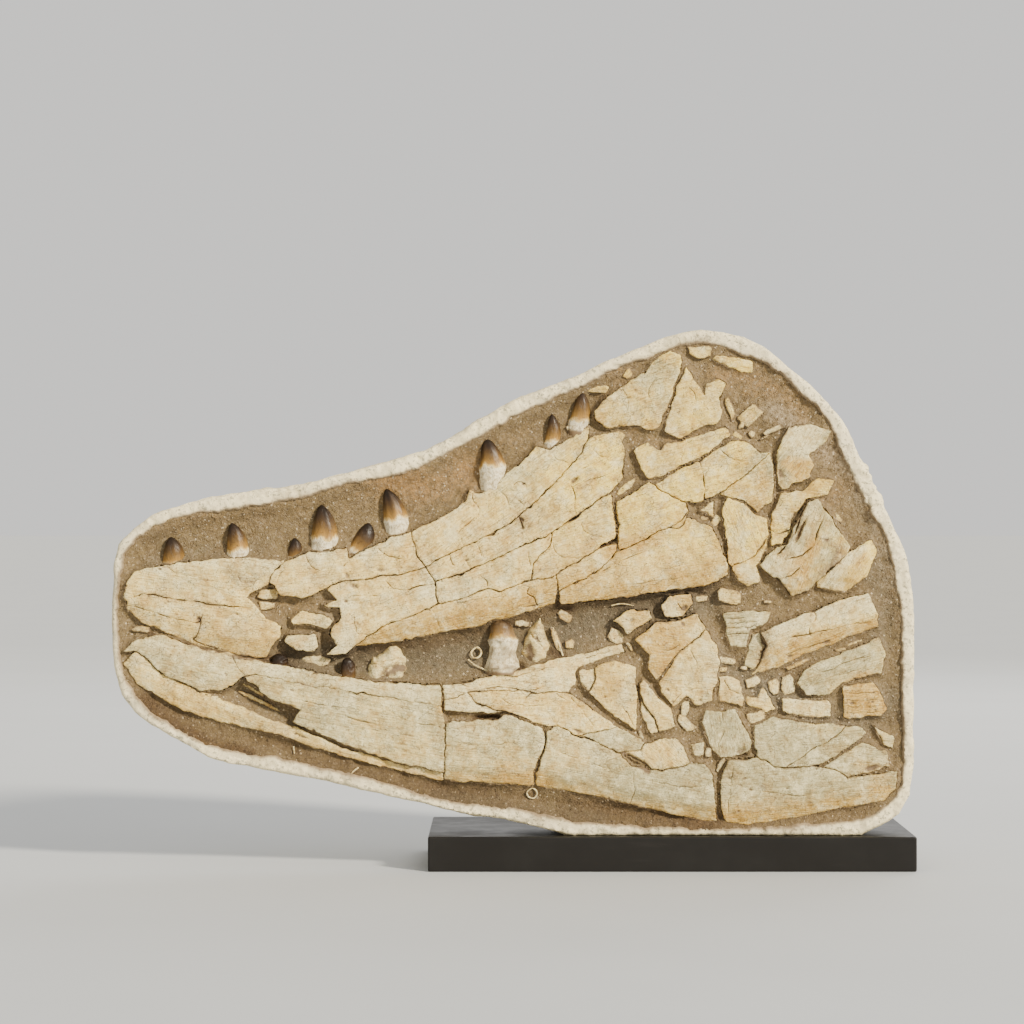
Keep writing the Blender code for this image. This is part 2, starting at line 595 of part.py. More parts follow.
def lay_rear_plates(fossil):
    """The broken plates of the upper jaw's back end, each at its own level."""
    fossil.bone(
        "plate_coronoid_left",
        ((594, 411), (601, 402), (617.5, 390), (645, 371), (657, 359), (670.5, 350), (682, 355),
         (683, 361), (673, 395), (660.5, 426), (651, 430.5), (637, 426), (608.5, 429),
         (596, 421.5)),
        CREAM_BONE, 2.5, tilt=(0.01, -0.01))
    fossil.bone(
        "plate_coronoid_right",
        ((685.5, 366), (694, 378.5), (705, 395), (706, 384), (718, 378), (726, 382),
         (720, 398), (722, 410), (718, 424), (700, 428), (680, 439), (664, 432), (669, 411)),
        CREAM_BONE, 2.0, tilt=(0.02, 0.0))
    fossil.bone(
        "plate_surangular_top",
        ((632.5, 451), (647, 442), (661, 451), (666, 443), (681.5, 441), (703.5, 434),
         (726, 425), (731, 435), (715, 449), (692.5, 461), (663, 476), (648.5, 478.5),
         (636, 460)),
        CREAM_BONE, 1.5, tilt=(0.0, 0.02))
    fossil.bone(
        "plate_surangular_front",
        (*FAN_CRACK, (707, 499), (693, 503), *reversed(EAR_CRACK), (675, 472), (699, 460.5),
         (730, 441), (744, 441), (760, 452.5)),
        CREAM_BONE, 3.0)
    fossil.bone(
        "plate_surangular_middle",
        (*FAN_CRACK, (722, 496), (742, 500), (758, 513), (771, 500), (774, 486), (773, 468)),
        CREAM_BONE, 2.4)
    fossil.bone(
        "plate_surangular_rear",
        ((787, 427), (810, 424), (832.5, 431.5), (825, 442), (809, 456), (815, 465),
         (808, 479), (783, 489.5), (777, 484), (775.5, 470), (777.5, 449)),
        WHITE_BONE, 2.6, tilt=(-0.02, 0.0))
    fossil.bone(
        "plate_articular_top",
        ((780, 492), (802, 491), (817, 478), (836, 479), (829, 495), (808, 499), (793, 515),
         (791, 532), (782, 544), (771, 547), (770, 519), (776, 502)),
        CREAM_BONE, 2.2)
    fossil.bone(
        "plate_prearticular_top",
        (*KNEE_CRACK, (728, 564), (725.5, 536), (722, 507), (727, 496.5), (743, 502.5),
         (753, 512.5), (766, 519)),
        CREAM_BONE, 3.2, tilt=(0.0, 0.01))
    fossil.bone(
        "plate_prearticular_knee",
        (*KNEE_CRACK, (737, 581), (747, 587), (761, 580.5), (757.5, 567), (766, 549)),
        CREAM_BONE, 1.4, tilt=(-0.02, 0.03))
    fossil.bone(
        "plate_small_white",
        ((698.5, 510.5), (715, 498.5), (715, 517)),
        WHITE_BONE, 0.5)
    fossil.bone(
        "plate_articular_block",
        ((760, 565), (770, 552), (788, 542), (797, 517.5), (808.5, 502), (817, 498),
         (836, 526), (850.5, 547), *KNOB_CRACK, (812, 589), (791, 598), (781, 582.5),
         (763, 571)),
        GREY_BONE, 6.5, tilt=(0.0, -0.02),
        rolls=((((760, 565), (763, 571), (781, 582.5), (791, 598), (812, 589)), 9.0, 5.0),))
    fossil.bone(
        "plate_articular_knob",
        (*KNOB_CRACK, (818, 588), (846, 592), (866, 577), (878, 551), (871.5, 539.5)),
        CREAM_BONE, 4.0,
        rolls=((((871.5, 539.5), (878, 551), (866, 577), (846, 592), (818, 588)), 12.0, 8.0),))
    retro_edge = ((878.5, 627), (841, 641), (809, 653.5), (780, 666), (749, 676))
    fossil.bone(
        "plate_retroarticular",
        ((797, 617), (842.5, 599), (868, 592.5), (877, 614), *retro_edge,
         *reversed(SPONGY_CRACK)),
        WHITE_BONE, 6.0, tilt=(0.0, -0.03), rolls=((retro_edge, 24.0, 12.0),))
    slab_edge = ((881, 674), (843, 683), (829, 694.5), (806.5, 696))
    fossil.bone(
        "plate_lower_grey",
        ((795.5, 682), (806, 668), (843, 651), (860, 646), (878, 636), (886, 653.5),
         *slab_edge),
        GREY_BONE, 3.2, rolls=((slab_edge, 9.0, 5.0),))
    fossil.bone(
        "plate_lower_square",
        ((842, 685.5), (875.5, 683), (886, 707.5), (881, 716.5), (843, 718.5)),
        OCHRE_BONE, 1.8)
    fossil.bone(
        "plate_lower_bar",
        ((782.5, 698.5), (827, 699.5), (831, 704), (830.5, 717), (800, 717), (782, 711.5)),
        WHITE_BONE, 1.2)
    fossil.bone(
        "plate_striated",
        ((722, 613.5), (753, 610), (772, 613), (767, 623), (751, 630), (747.5, 648),
         (731, 646), (725, 630)),
        GREY_BONE, 1.0, tilt=(0.02, -0.03))
    fossil.bone(
        "plate_spongy",
        (*SPONGY_CRACK, (751, 670), (743, 667), (752.5, 633.5)),
        GREY_BONE, -2.0)
    fossil.bone(
        "plate_rib_front",
        ((754, 725.5), (775, 716.5), (801.5, 723), (848, 724.5), (862, 727), (866, 733),
         (838.5, 756), *reversed(RIB_CRACK[:4]), (754.5, 742)),
        GREY_BONE, 2.4, tilt=(0.0, 0.01))
    fossil.bone(
        "plate_rib_rear",
        ((840, 757), (861.5, 742), (887, 751), (891, 768), (866, 774),
         *reversed(RIB_CRACK[4:]), (823, 767.2)),
        GREY_BONE, 1.2, tilt=(-0.02, 0.0))
    fossil.bone(
        "plate_rib_shard",
        ((873, 725.5), (896, 737), (893.5, 748.5), (884, 744)),
        GREY_BONE, -1.0)
    fossil.bone(
        "plate_packed_cream",
        ((746, 694), (757, 697), (763, 684), (776.5, 709.5), (767.5, 714), (746, 704)),
        CREAM_BONE, -0.5)
    fossil.bone(
        "plate_packed_white",
        ((718, 675), (727, 674.5), (740, 680), (745, 697), (742.5, 706), (720, 702)),
        WHITE_BONE, 0.0)


def lay_middle_plates(fossil):
    """The plates packed between the two jaws."""
    fossil.bone(
        "plate_heart",
        (*HEART_CRACK, (580, 682), (578.5, 672.5), (582, 668), (588, 669.5)),
        WHITE_BONE, 1.5)
    fossil.bone(
        "plate_shield",
        (*HEART_CRACK, (613.5, 716), (636.5, 730), (637, 689), (635, 665.5), (617.5, 661),
         (603, 663)),
        CREAM_BONE, 2.2)
    fossil.bone(
        "plate_slant_front",
        (*SLANT_CRACK, (651, 735), (641, 716)),
        WHITE_BONE, 0.8)
    fossil.bone(
        "plate_slant_rear",
        (*SLANT_CRACK, (675.5, 727.5), (671, 709.5), (643, 679.5), (639, 684)),
        CREAM_BONE, 1.6)
    fossil.bone(
        "plate_ochre",
        (*GREY_CRACK, (698, 613), (675, 621), (655, 622), (634, 639), (648, 654), (647, 669),
         (656, 680)),
        OCHRE_BONE, 2.2, tilt=(0.0, 0.02))
    fossil.bone(
        "plate_broad",
        (*GREY_CRACK, (718, 647), (719.5, 661), (713, 701), (696, 706), (687, 698),
         (672, 706.5), (657, 683), (665, 672)),
        CREAM_BONE, 2.6)
    fossil.bone(
        "plate_knob",
        ((661, 606), (668.5, 597), (690, 592.5), (693, 604), (682.5, 616.5), (665, 618)),
        CREAM_BONE, -1.0)
    fossil.bone(
        "plate_flake",
        ((611.5, 621), (627.5, 610), (650, 609.5), (652, 618), (627.5, 635), (618, 624)),
        CREAM_BONE, -2.0)
    fossil.bone(
        "plate_olive",
        ((701, 722.5), (706, 710.5), (736, 709), (754, 743), (749, 751.5), (732, 758),
         (719.5, 758), (706.5, 740)),
        GREY_BONE, 0.8)
    fossil.bone(
        "plate_pale_square",
        ((689, 744), (704, 741), (706, 755), (695, 757)),
        WHITE_BONE, -1.0)
    fossil.bone(
        "plate_rim_bar",
        ((711, 359), (716, 355), (754.5, 361), (753.5, 372), (741, 372.5), (726, 366.5)),
        CREAM_BONE, -0.5)


def lay_lower_jaw(fossil):
    """The lower of the two jaws, greyer, with worn teeth and open sockets on its upper edge."""
    axis = LOWER_AXIS
    fossil.bone(
        "lower_dentary_upper",
        ((122, 653), (135, 639), (160, 634), (200, 649), (260, 662), (312, 671), (375, 682),
         (441, 684), *reversed(SHELF_CRACK), (233, 686), (222, 690), (201, 691), (165, 675),
         (138, 652)),
        GREY_BONE, 4.4, axis=axis,
        rolls=((((135, 639), (200, 649), (312, 671), (441, 684)), 7.0, 3.0),),
        teeth=(tooth((279, 654), (278, 670), 20, axis=-8.0, root=5.0, profile=STUMP),
               tooth((347, 658), (347, 683), 16, axis=-9.0, root=4.0, profile=STUMP),
               tooth((389, 649), (387, 684), 30, axis=-9.0, root=4.0, profile=STUMP)))
    shelf_edge = ((124, 664), (139, 685), (181, 709), (217, 721), (273, 733), (320, 749),
                  (388, 768), (443.5, 780.5))
    fossil.bone(
        "lower_dentary_shelf",
        ((137, 653), (158, 672), (197, 692), (228, 701.5), (273, 722), (303, 732), (341, 748),
         (400, 765), (443.5, 773), *reversed(shelf_edge)),
        OCHRE_BONE, 2.0, axis=axis, rolls=((shelf_edge, 12.0, 9.0),))
    fossil.bone(
        "lower_splenial_front",
        (*SHELF_CRACK, (444, 731), (444, 772), (400, 763), (344, 744), (309, 729),
         (293, 723), (301, 709), (272, 699)),
        GREY_BONE, 3.6, axis=axis)
    rear_floor = ((534, 786), (496, 784.5), (444.5, 780.5))
    fossil.bone(
        "lower_splenial_rear",
        ((445, 722), (497, 719.5), (504, 714), (540, 726), (545, 731), (545, 743), (533, 772),
         *rear_floor),
        GREY_BONE, 3.4, axis=axis, rolls=((rear_floor, 14.0, 11.0),))
    fossil.bone(
        "lower_coronoid_lamina",
        ((442, 684.5), (480, 679), (511, 672), (556, 659), (622, 644), (626, 653), (581, 666),
         (576, 672), (576, 683), *reversed(LAMINA_CRACK), *LIP_CRACK[1:], (484, 713), (444, 711)),
        WHITE_BONE, 3.8, axis=axis,
        teeth=(tooth((500, 622), (501, 672), 32, axis=-10.0, root=5.0, profile=BLUNT),
               tooth((537, 619), (536, 668), 26, axis=-10.0, root=5.0, profile=BLUNT)))
    fossil.bone(
        "lower_wedge",
        (*LAMINA_CRACK, (598, 712), *WEDGE_BASE, (543, 725), *reversed(LIP_CRACK[1:])),
        CREAM_BONE, 3.6, axis=axis)
    fossil.bone(
        "lower_comb",
        (*COMB_CRACK, *FORAMEN_CRACK[1:], (637, 736), *WEDGE_BASE[:2]),
        GREY_BONE, 3.0, axis=axis)
    angular_floor = ((717, 822), (680, 817), (629, 804), (578, 793), (535, 786))
    fossil.bone(
        "lower_angular_middle",
        ((546.5, 730), (557, 727), *COMB_CRACK, (630, 766), *BLOCK_CRACK, (706, 763), (714, 777),
         *angular_floor, (535, 773), (547, 743)),
        GREY_BONE, 4.2, axis=axis, rolls=((angular_floor, 16.0, 14.0),))
    fossil.bone(
        "lower_foramen_plate",
        (*FORAMEN_CRACK, (675, 737), (682, 744), *reversed(BLOCK_CRACK)),
        CREAM_BONE, 3.4, axis=axis)
    rear_keel = ((896, 790), (884.5, 802), (847.5, 808), (809, 815), (750.5, 826),
                 (725, 823))
    fossil.bone(
        "lower_angular_rear",
        ((722, 776), (727.5, 760), *RIB_CRACK, (886, 773), (898, 771.5), *rear_keel,
         (719.5, 800)),
        GREY_BONE, 4.0, axis=axis, rolls=((rear_keel, 18.0, 15.0),))


# Chips of bone lying loose in the matrix: middle x and y, length, width and turn in degrees
CHIPS = (
    (268, 594, 24, 11, 0), (266, 606, 20, 10, 0), (627, 487, 24, 8, -42), (704, 519, 9, 5, 10),
    (717, 519, 12, 8, -50), (790, 684, 18, 11, 90), (796, 665, 28, 6, -28), (600, 389, 28, 9, 0),
    (628, 374, 12, 8, -50), (699, 352, 23, 14, 0), (750, 416, 24, 16, -40), (730, 408, 26, 6, 72),
    (773, 430, 24, 6, -20), (731, 597, 24, 14, 5), (686, 724, 22, 10, 28), (686, 708, 17, 9, 90),
    (616, 636, 14, 12, 0), (703, 599, 12, 8, 0), (755, 718, 20, 9, -5), (774, 687, 14, 10, 80),
    (838, 518, 14, 6, 45), (558, 642, 26, 5, 72), (570, 645, 10, 9, 80), (565, 616, 17, 9, 35),
    (522, 624, 18, 7, 0), (140, 629, 20, 8, 0), (259, 702, 54, 5, 25), (630, 647, 12, 6, 60),
    (312, 663, 30, 9, 4), (569, 428, 7, 4, 60),
)


def chip_solid(chip, number):
    """A flat many-sided chip of bone, its corners varied a little, sunk into the matrix."""
    x, y, length, width, turn = chip
    draw = random.Random(number)
    angle = math.radians(turn)
    outline = []
    for corner in range(CHIP_CORNERS):
        around = 2 * math.pi * (corner + 0.5) / CHIP_CORNERS
        reach = draw.uniform(*CHIP_REACH)
        across = length / 2 * reach * math.cos(around)
        up = width / 2 * reach * math.sin(around)
        outline.append((x + across * math.cos(angle) - up * math.sin(angle),
                        y + across * math.sin(angle) + up * math.cos(angle)))
    bed = matrix_height(x, y)
    return slab(outline, bed - CHIP_ROOT, bed + draw.uniform(*CHIP_RISE))


def build_matrix(collection, cutters):
    """The block of matrix: it fills the jacket, holds the chips and makes room for the bones."""
    edge = inset(INNER, GAP)
    rings = [[place(x, y, MATRIX_BED) for x, y in edge]]
    rings.extend([to_spine(x, y, share, h + GAP) for x, y in edge] for share, h in CAVITY_BACK)
    bm = loft(rings)
    cut_grid(bm, MATRIX_GRID)
    shape_front(bm, matrix_height, 0.0)
    matrix = make_object("matrix", bm, collection, SANDSTONE)
    chips = make_collection("chips")
    for number, chip in enumerate(CHIPS):
        make_object(f"chip_{number}", chip_solid(chip, number), chips)
    combine(matrix, chips, "UNION")
    bpy.data.collections.remove(chips)
    combine(matrix, cutters, "DIFFERENCE")
    keep_largest(matrix)
    return matrix


def build_plinth(collection):
    """The flat black plinth, its edges eased by a fine bevel."""
    bm = bmesh.new()
    bmesh.ops.create_cube(bm, size=1.0)
    size = Vector((PLINTH_RIGHT - PLINTH_LEFT, PLINTH_DEPTH, PLINTH_HEIGHT)) * MM
    middle_x = ((PLINTH_RIGHT + PLINTH_LEFT) / 2 - CENTRE_X) * MM
    bmesh.ops.scale(bm, vec=size, verts=bm.verts)
    bmesh.ops.translate(bm, vec=(middle_x, 0, size.z / 2), verts=bm.verts)
    plinth = make_object("stand_plinth", bm, collection, BLACK_PLINTH)
    bevel = plinth.modifiers.new("edges", "BEVEL")
    bevel.width = PLINTH_EDGE * MM
    bevel.segments = 2
    return plinth


def main():
    for obj in list(bpy.data.objects):
        bpy.data.objects.remove(obj, do_unlink=True)
    collection = make_collection("fossil_mosasaur_jaw")
    cutters = make_collection("cutters")
    build_plinth(collection)
    build_jacket(collection)
    fossil = Fossil(collection, cutters)
    lay_upper_jaw(fossil)
    lay_rear_plates(fossil)
    lay_middle_plates(fossil)
    lay_lower_jaw(fossil)
    build_matrix(collection, cutters)


main()
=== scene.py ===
"""The looks of two crushed mosasaur jaws in matrix, in a plaster field jacket on a plinth.

Places on the face of the block are given in millimetres on its survey grid: x to the right, y
down and h out towards the viewer from the front of the plaster rim.
"""

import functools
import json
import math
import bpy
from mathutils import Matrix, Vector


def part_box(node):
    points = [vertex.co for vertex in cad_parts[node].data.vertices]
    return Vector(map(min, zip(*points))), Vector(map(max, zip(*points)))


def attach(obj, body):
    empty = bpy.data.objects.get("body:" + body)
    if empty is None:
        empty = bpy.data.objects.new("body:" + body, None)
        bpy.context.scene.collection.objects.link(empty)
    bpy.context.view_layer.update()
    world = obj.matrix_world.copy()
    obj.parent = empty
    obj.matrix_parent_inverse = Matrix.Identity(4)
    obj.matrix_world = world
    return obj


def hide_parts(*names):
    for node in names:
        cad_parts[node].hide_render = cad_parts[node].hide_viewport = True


bl_info = {
    "name": "Fossil mosasaur jaw in matrix",
    "version": (1, 0, 0),
    "blender": (4, 5, 0),
    "location": "View3D > Sidebar > Fossil",
    "description": "Bone plates, teeth, matrix, plaster jacket and plinth of a mounted fossil jaw",
    "category": "Add Mesh",
}

import bpy
import numpy as np
from bpy.props import FloatProperty, FloatVectorProperty, PointerProperty
from mathutils import Vector, geometry, kdtree
from mathutils.bvhtree import BVHTree

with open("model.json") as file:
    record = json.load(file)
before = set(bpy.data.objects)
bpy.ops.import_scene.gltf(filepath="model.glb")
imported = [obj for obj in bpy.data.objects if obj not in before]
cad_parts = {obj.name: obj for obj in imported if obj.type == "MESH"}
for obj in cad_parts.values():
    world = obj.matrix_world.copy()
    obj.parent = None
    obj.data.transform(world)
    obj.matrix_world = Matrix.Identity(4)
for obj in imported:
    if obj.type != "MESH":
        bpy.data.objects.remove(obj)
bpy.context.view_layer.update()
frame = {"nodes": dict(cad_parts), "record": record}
FINISH_OF = {part["node"]: part["material_slot"] for part in frame["record"]["subparts"]}
OTHER_NODES = ("jacket", "matrix", "stand_plinth")
BONES = sorted(node for node in frame["nodes"] if node not in OTHER_NODES)

MM = 0.001
# The plinth's right end, the floor and the block's flat-cut foot on the survey grid
PLINTH_RIGHT = 916.0
FLOOR_Y = 871.0
FOOT_Y = 835.7
CENTRE_X = PLINTH_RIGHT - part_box("stand_plinth")[1].x / MM
FACE_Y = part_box("jacket")[0].y
# How far back the plates, the broken roots and the matrix reach, and how deep a chip sits
BONE_BACK = -28.0
ROOT_BACK = -24.0
MATRIX_BACK = -38.0
CHIP_DEPTH = 8.0
# Seeds of the random draws
LATTICE_SEED = 11
BONE_SEED = 40
CHIP_SEED = 77
GRIT_SEED = 4
ROOT_SEED = 60
# Edges between faces that turn by more than this stay sharp
SHARP_EDGE = math.radians(50)
# The photo: its width and height on the survey grid, how many metres away it was taken, and the
# width of the camera's sensor
PHOTO_SIZE = 1024.0
VIEW_DISTANCE = 3.15
SENSOR = 36.0

# ---------------------------------------------------------------- survey of the face

# Cracks that cross a plate: half width, depth and the line
CRACKS = {
    "upper_dentary_tip": (
        (0.8, 2.2, ((128, 598), (150, 594), (168, 598), (190, 601), (220, 605), (253, 608))),
        (0.7, 1.8, ((133, 606), (150, 611), (170, 618), (188, 621), (199, 622), (203, 615))),
        (0.6, 1.6, ((201, 620), (199, 630), (196, 637), (194, 640), (205, 646))),
        (1.0, 2.0, ((238, 577), (243, 582), (252, 582), (261, 580))),
        (0.4, 0.8, ((168, 567), (180, 574), (196, 577))),
    ),
    "upper_dentary_front": (
        (0.7, 1.6, ((283, 571), (279, 576), (277, 581))),
        (0.7, 1.8, ((343, 567), (347, 562), (352, 557), (353, 551))),
        (0.4, 0.8, ((306, 556), (312, 566), (322, 571))),
        (0.4, 0.8, ((378, 548), (388, 556), (402, 559))),
    ),
    "upper_dentary_middle": (
        (0.7, 1.6, ((472, 493), (473, 502), (478, 508), (476, 517), (464, 527), (453, 535))),
        (0.6, 1.2, ((512, 486), (518, 482), (525, 483), (527, 490))),
        (0.6, 1.2, ((550, 453), (558, 460), (568, 463))),
        (0.5, 1.0, ((518, 500), (524, 506), (523, 512))),
        (0.5, 1.0, ((461, 538), (463, 546))),
        (0.4, 0.8, ((497, 488), (506, 497), (509, 509))),
    ),
    "upper_dentary_rear": (
        (0.8, 2.0, ((516, 513), (521, 523), (524, 532), (531, 543))),
        (0.8, 2.0, ((450, 556), (453, 565), (465, 561), (470, 568))),
        (0.7, 2.0, ((572, 488), (575, 497), (574, 506), (577, 514))),
        (0.4, 0.9, ((570, 488), (590, 480), (612, 473), (622, 466))),
        (0.4, 0.8, ((478, 546), (482, 556))),
        (0.4, 0.8, ((590, 446), (598, 455), (612, 458))),
    ),
    "upper_dentary_wall": (
        (0.5, 1.0, ((552, 545), (561, 556), (585, 557), (610, 549))),
        (0.4, 0.8, ((580, 523), (588, 534), (604, 538))),
    ),
    "upper_splenial_front": (
        (0.9, 2.2, ((407, 590), (420, 586), (435, 582))),
        (0.6, 1.4, ((353, 596), (366, 596), (379, 596))),
        (0.5, 1.2, ((353, 614), (355, 624), (357, 633), (364, 634))),
        (0.5, 1.2, ((364, 634), (374, 634), (383, 639))),
        (0.4, 0.9, ((337, 617), (348, 622), (355, 624))),
        (0.4, 0.9, ((386, 580), (392, 588), (407, 590))),
    ),
    "upper_splenial_middle": (
        (0.6, 1.4, ((528, 552), (528, 558), (531, 566))),
        (0.6, 1.2, ((439, 573), (442, 583))),
        (0.5, 1.0, ((478, 575), (486, 580), (488, 587))),
    ),
    "upper_splenial_keel": (
        (0.7, 1.6, ((530, 586), (527, 593), (534, 598), (538, 606))),
        (0.5, 1.2, ((516, 608), (534, 605), (557, 599))),
        (0.4, 1.0, ((430, 607), (434, 614), (441, 631))),
        (0.4, 0.9, ((455, 604), (480, 599), (505, 596))),
    ),
    "upper_angular_front": ((0.7, 1.6, ((664, 530), (676, 524), (683, 519), (688, 510))),),
    "upper_angular_rear": (
        (0.5, 1.2, ((600, 573), (622, 560), (645, 551), (662, 541))),
        (0.4, 0.8, ((640, 574), (676, 566), (706, 560))),
        (0.4, 0.8, ((600, 590), (640, 583), (690, 577))),
    ),
    "plate_coronoid_left": (
        (0.4, 0.8, ((622, 388), (628, 402), (626, 414))),
        (0.4, 0.8, ((655, 378), (648, 392), (652, 404))),
    ),
    "plate_coronoid_right": ((0.4, 0.8, ((688, 386), (696, 398), (694, 412))),),
    "plate_surangular_top": ((0.5, 1.2, ((687, 440), (684, 452), (681, 460), (683, 470))),),
    "plate_surangular_front": (
        (0.9, 2.6, ((699.5, 460.5), (702, 471), (704, 485), (704, 501))),
        (0.4, 0.8, ((720, 449), (730, 458), (746, 462))),
    ),
    "plate_articular_top": ((0.7, 1.6, ((770, 530), (780, 533), (792, 528))),),
    "plate_articular_block": (
        (1.1, 3.2, ((800, 518), (795, 532), (786, 545), (776, 556))),
        (0.9, 2.6, ((824, 514), (818, 530), (813, 545), (800, 556), (784, 560))),
        (0.7, 1.8, ((781, 580), (792, 574), (800, 566))),
    ),
    "plate_retroarticular": (
        (0.8, 2.0, ((812, 609), (815, 618), (809, 627), (810, 636))),
        (0.7, 1.8, ((767, 644), (792, 637), (809, 634), (840, 627), (872, 621))),
        (0.5, 1.2, ((783, 655), (804, 648), (830, 641))),
    ),
    "plate_lower_grey": (
        (0.6, 1.4, ((806, 668), (824, 672), (846, 662), (872, 656))),
        (0.5, 1.2, ((812, 686), (834, 676), (858, 670))),
    ),
    "plate_lower_square": tuple(
        (0.4, 0.8, ((843, y), (858, y + 1.5), (880, y - 0.5))) for y in (692, 699, 706, 712)
    ),
    "plate_striated": tuple(
        (0.4, 0.9, ((726, y), (742, y - 1.5), (760, y - 3))) for y in (619, 624, 629, 635)
    ),
    "plate_rib_front": (
        (0.7, 1.8, ((850, 723), (831, 739), (810, 751), (785, 768))),
        (0.4, 0.8, ((770, 722), (774, 730), (772, 738))),
        (0.4, 0.8, ((778, 718), (784, 728))),
    ),
    "plate_broad": (
        (0.7, 1.8, ((718, 692), (728, 690), (735, 681.5))),
        (0.6, 1.4, ((672, 704), (683, 692), (699, 688))),
        (0.4, 0.9, ((690, 650), (697, 664), (694, 676))),
    ),
    "plate_ochre": ((0.5, 1.0, ((655, 648), (668, 650), (680, 645))),),
    "plate_knob": ((0.7, 2.0, ((677, 603), (682, 609), (688, 611))),),
    "plate_shield": ((0.5, 1.0, ((621, 704), (628, 715), (634, 726))),),
    "plate_packed_white": ((0.6, 1.4, ((725, 680), (730, 690), (740, 694))),),
    "plate_olive": ((0.4, 0.9, ((722, 712), (724, 730), (718, 748))),),
    "lower_dentary_upper": (
        (0.6, 1.4, ((286, 674), (292, 669), (298, 663))),
        (0.5, 1.2, ((299, 682), (308, 676), (322, 672))),
        (0.4, 0.8, ((232, 655), (238, 668), (246, 676))),
    ),
    "lower_splenial_front": (
        (0.4, 1.0, ((344, 716), (362, 721), (382, 726))),
        (0.4, 0.9, ((300, 700), (330, 706), (358, 709))),
        (0.4, 0.9, ((390, 712), (412, 722), (440, 726))),
    ),
    "lower_splenial_rear": ((0.4, 0.9, ((452, 742), (480, 745), (512, 742))),),
    "lower_coronoid_lamina": (
        (0.5, 1.4, ((443, 699), (455, 698), (460, 695), (465, 693))),
        (0.5, 1.4, ((455, 683), (475, 687), (483, 682), (490, 681))),
        (0.6, 1.6, ((480, 690), (500, 687), (522, 690), (545, 688))),
        (0.5, 1.2, ((503, 672), (514, 677), (530, 672), (548, 668))),
        (0.4, 1.0, ((560, 664), (585, 658), (612, 651))),
    ),
    "lower_wedge": (
        (0.5, 1.2, ((571, 697), (582, 711), (597, 730))),
        (0.5, 1.2, ((525, 697), (533, 693))),
        (0.5, 1.2, ((557, 692), (560, 697), (567, 700))),
        (0.4, 0.9, ((500, 698), (512, 704), (530, 706), (548, 704))),
    ),
    "lower_angular_middle": (
        (0.4, 0.9, ((560, 752), (590, 762), (616, 772))),
        (0.5, 1.0, ((632, 772), (634, 790), (630, 804))),
        (0.4, 0.9, ((650, 780), (680, 786), (708, 786))),
    ),
    "lower_angular_rear": (
        (0.4, 0.9, ((733, 768), (730, 790), (728, 812))),
        (0.4, 0.9, ((760, 790), (800, 795), (850, 788))),
    ),
}

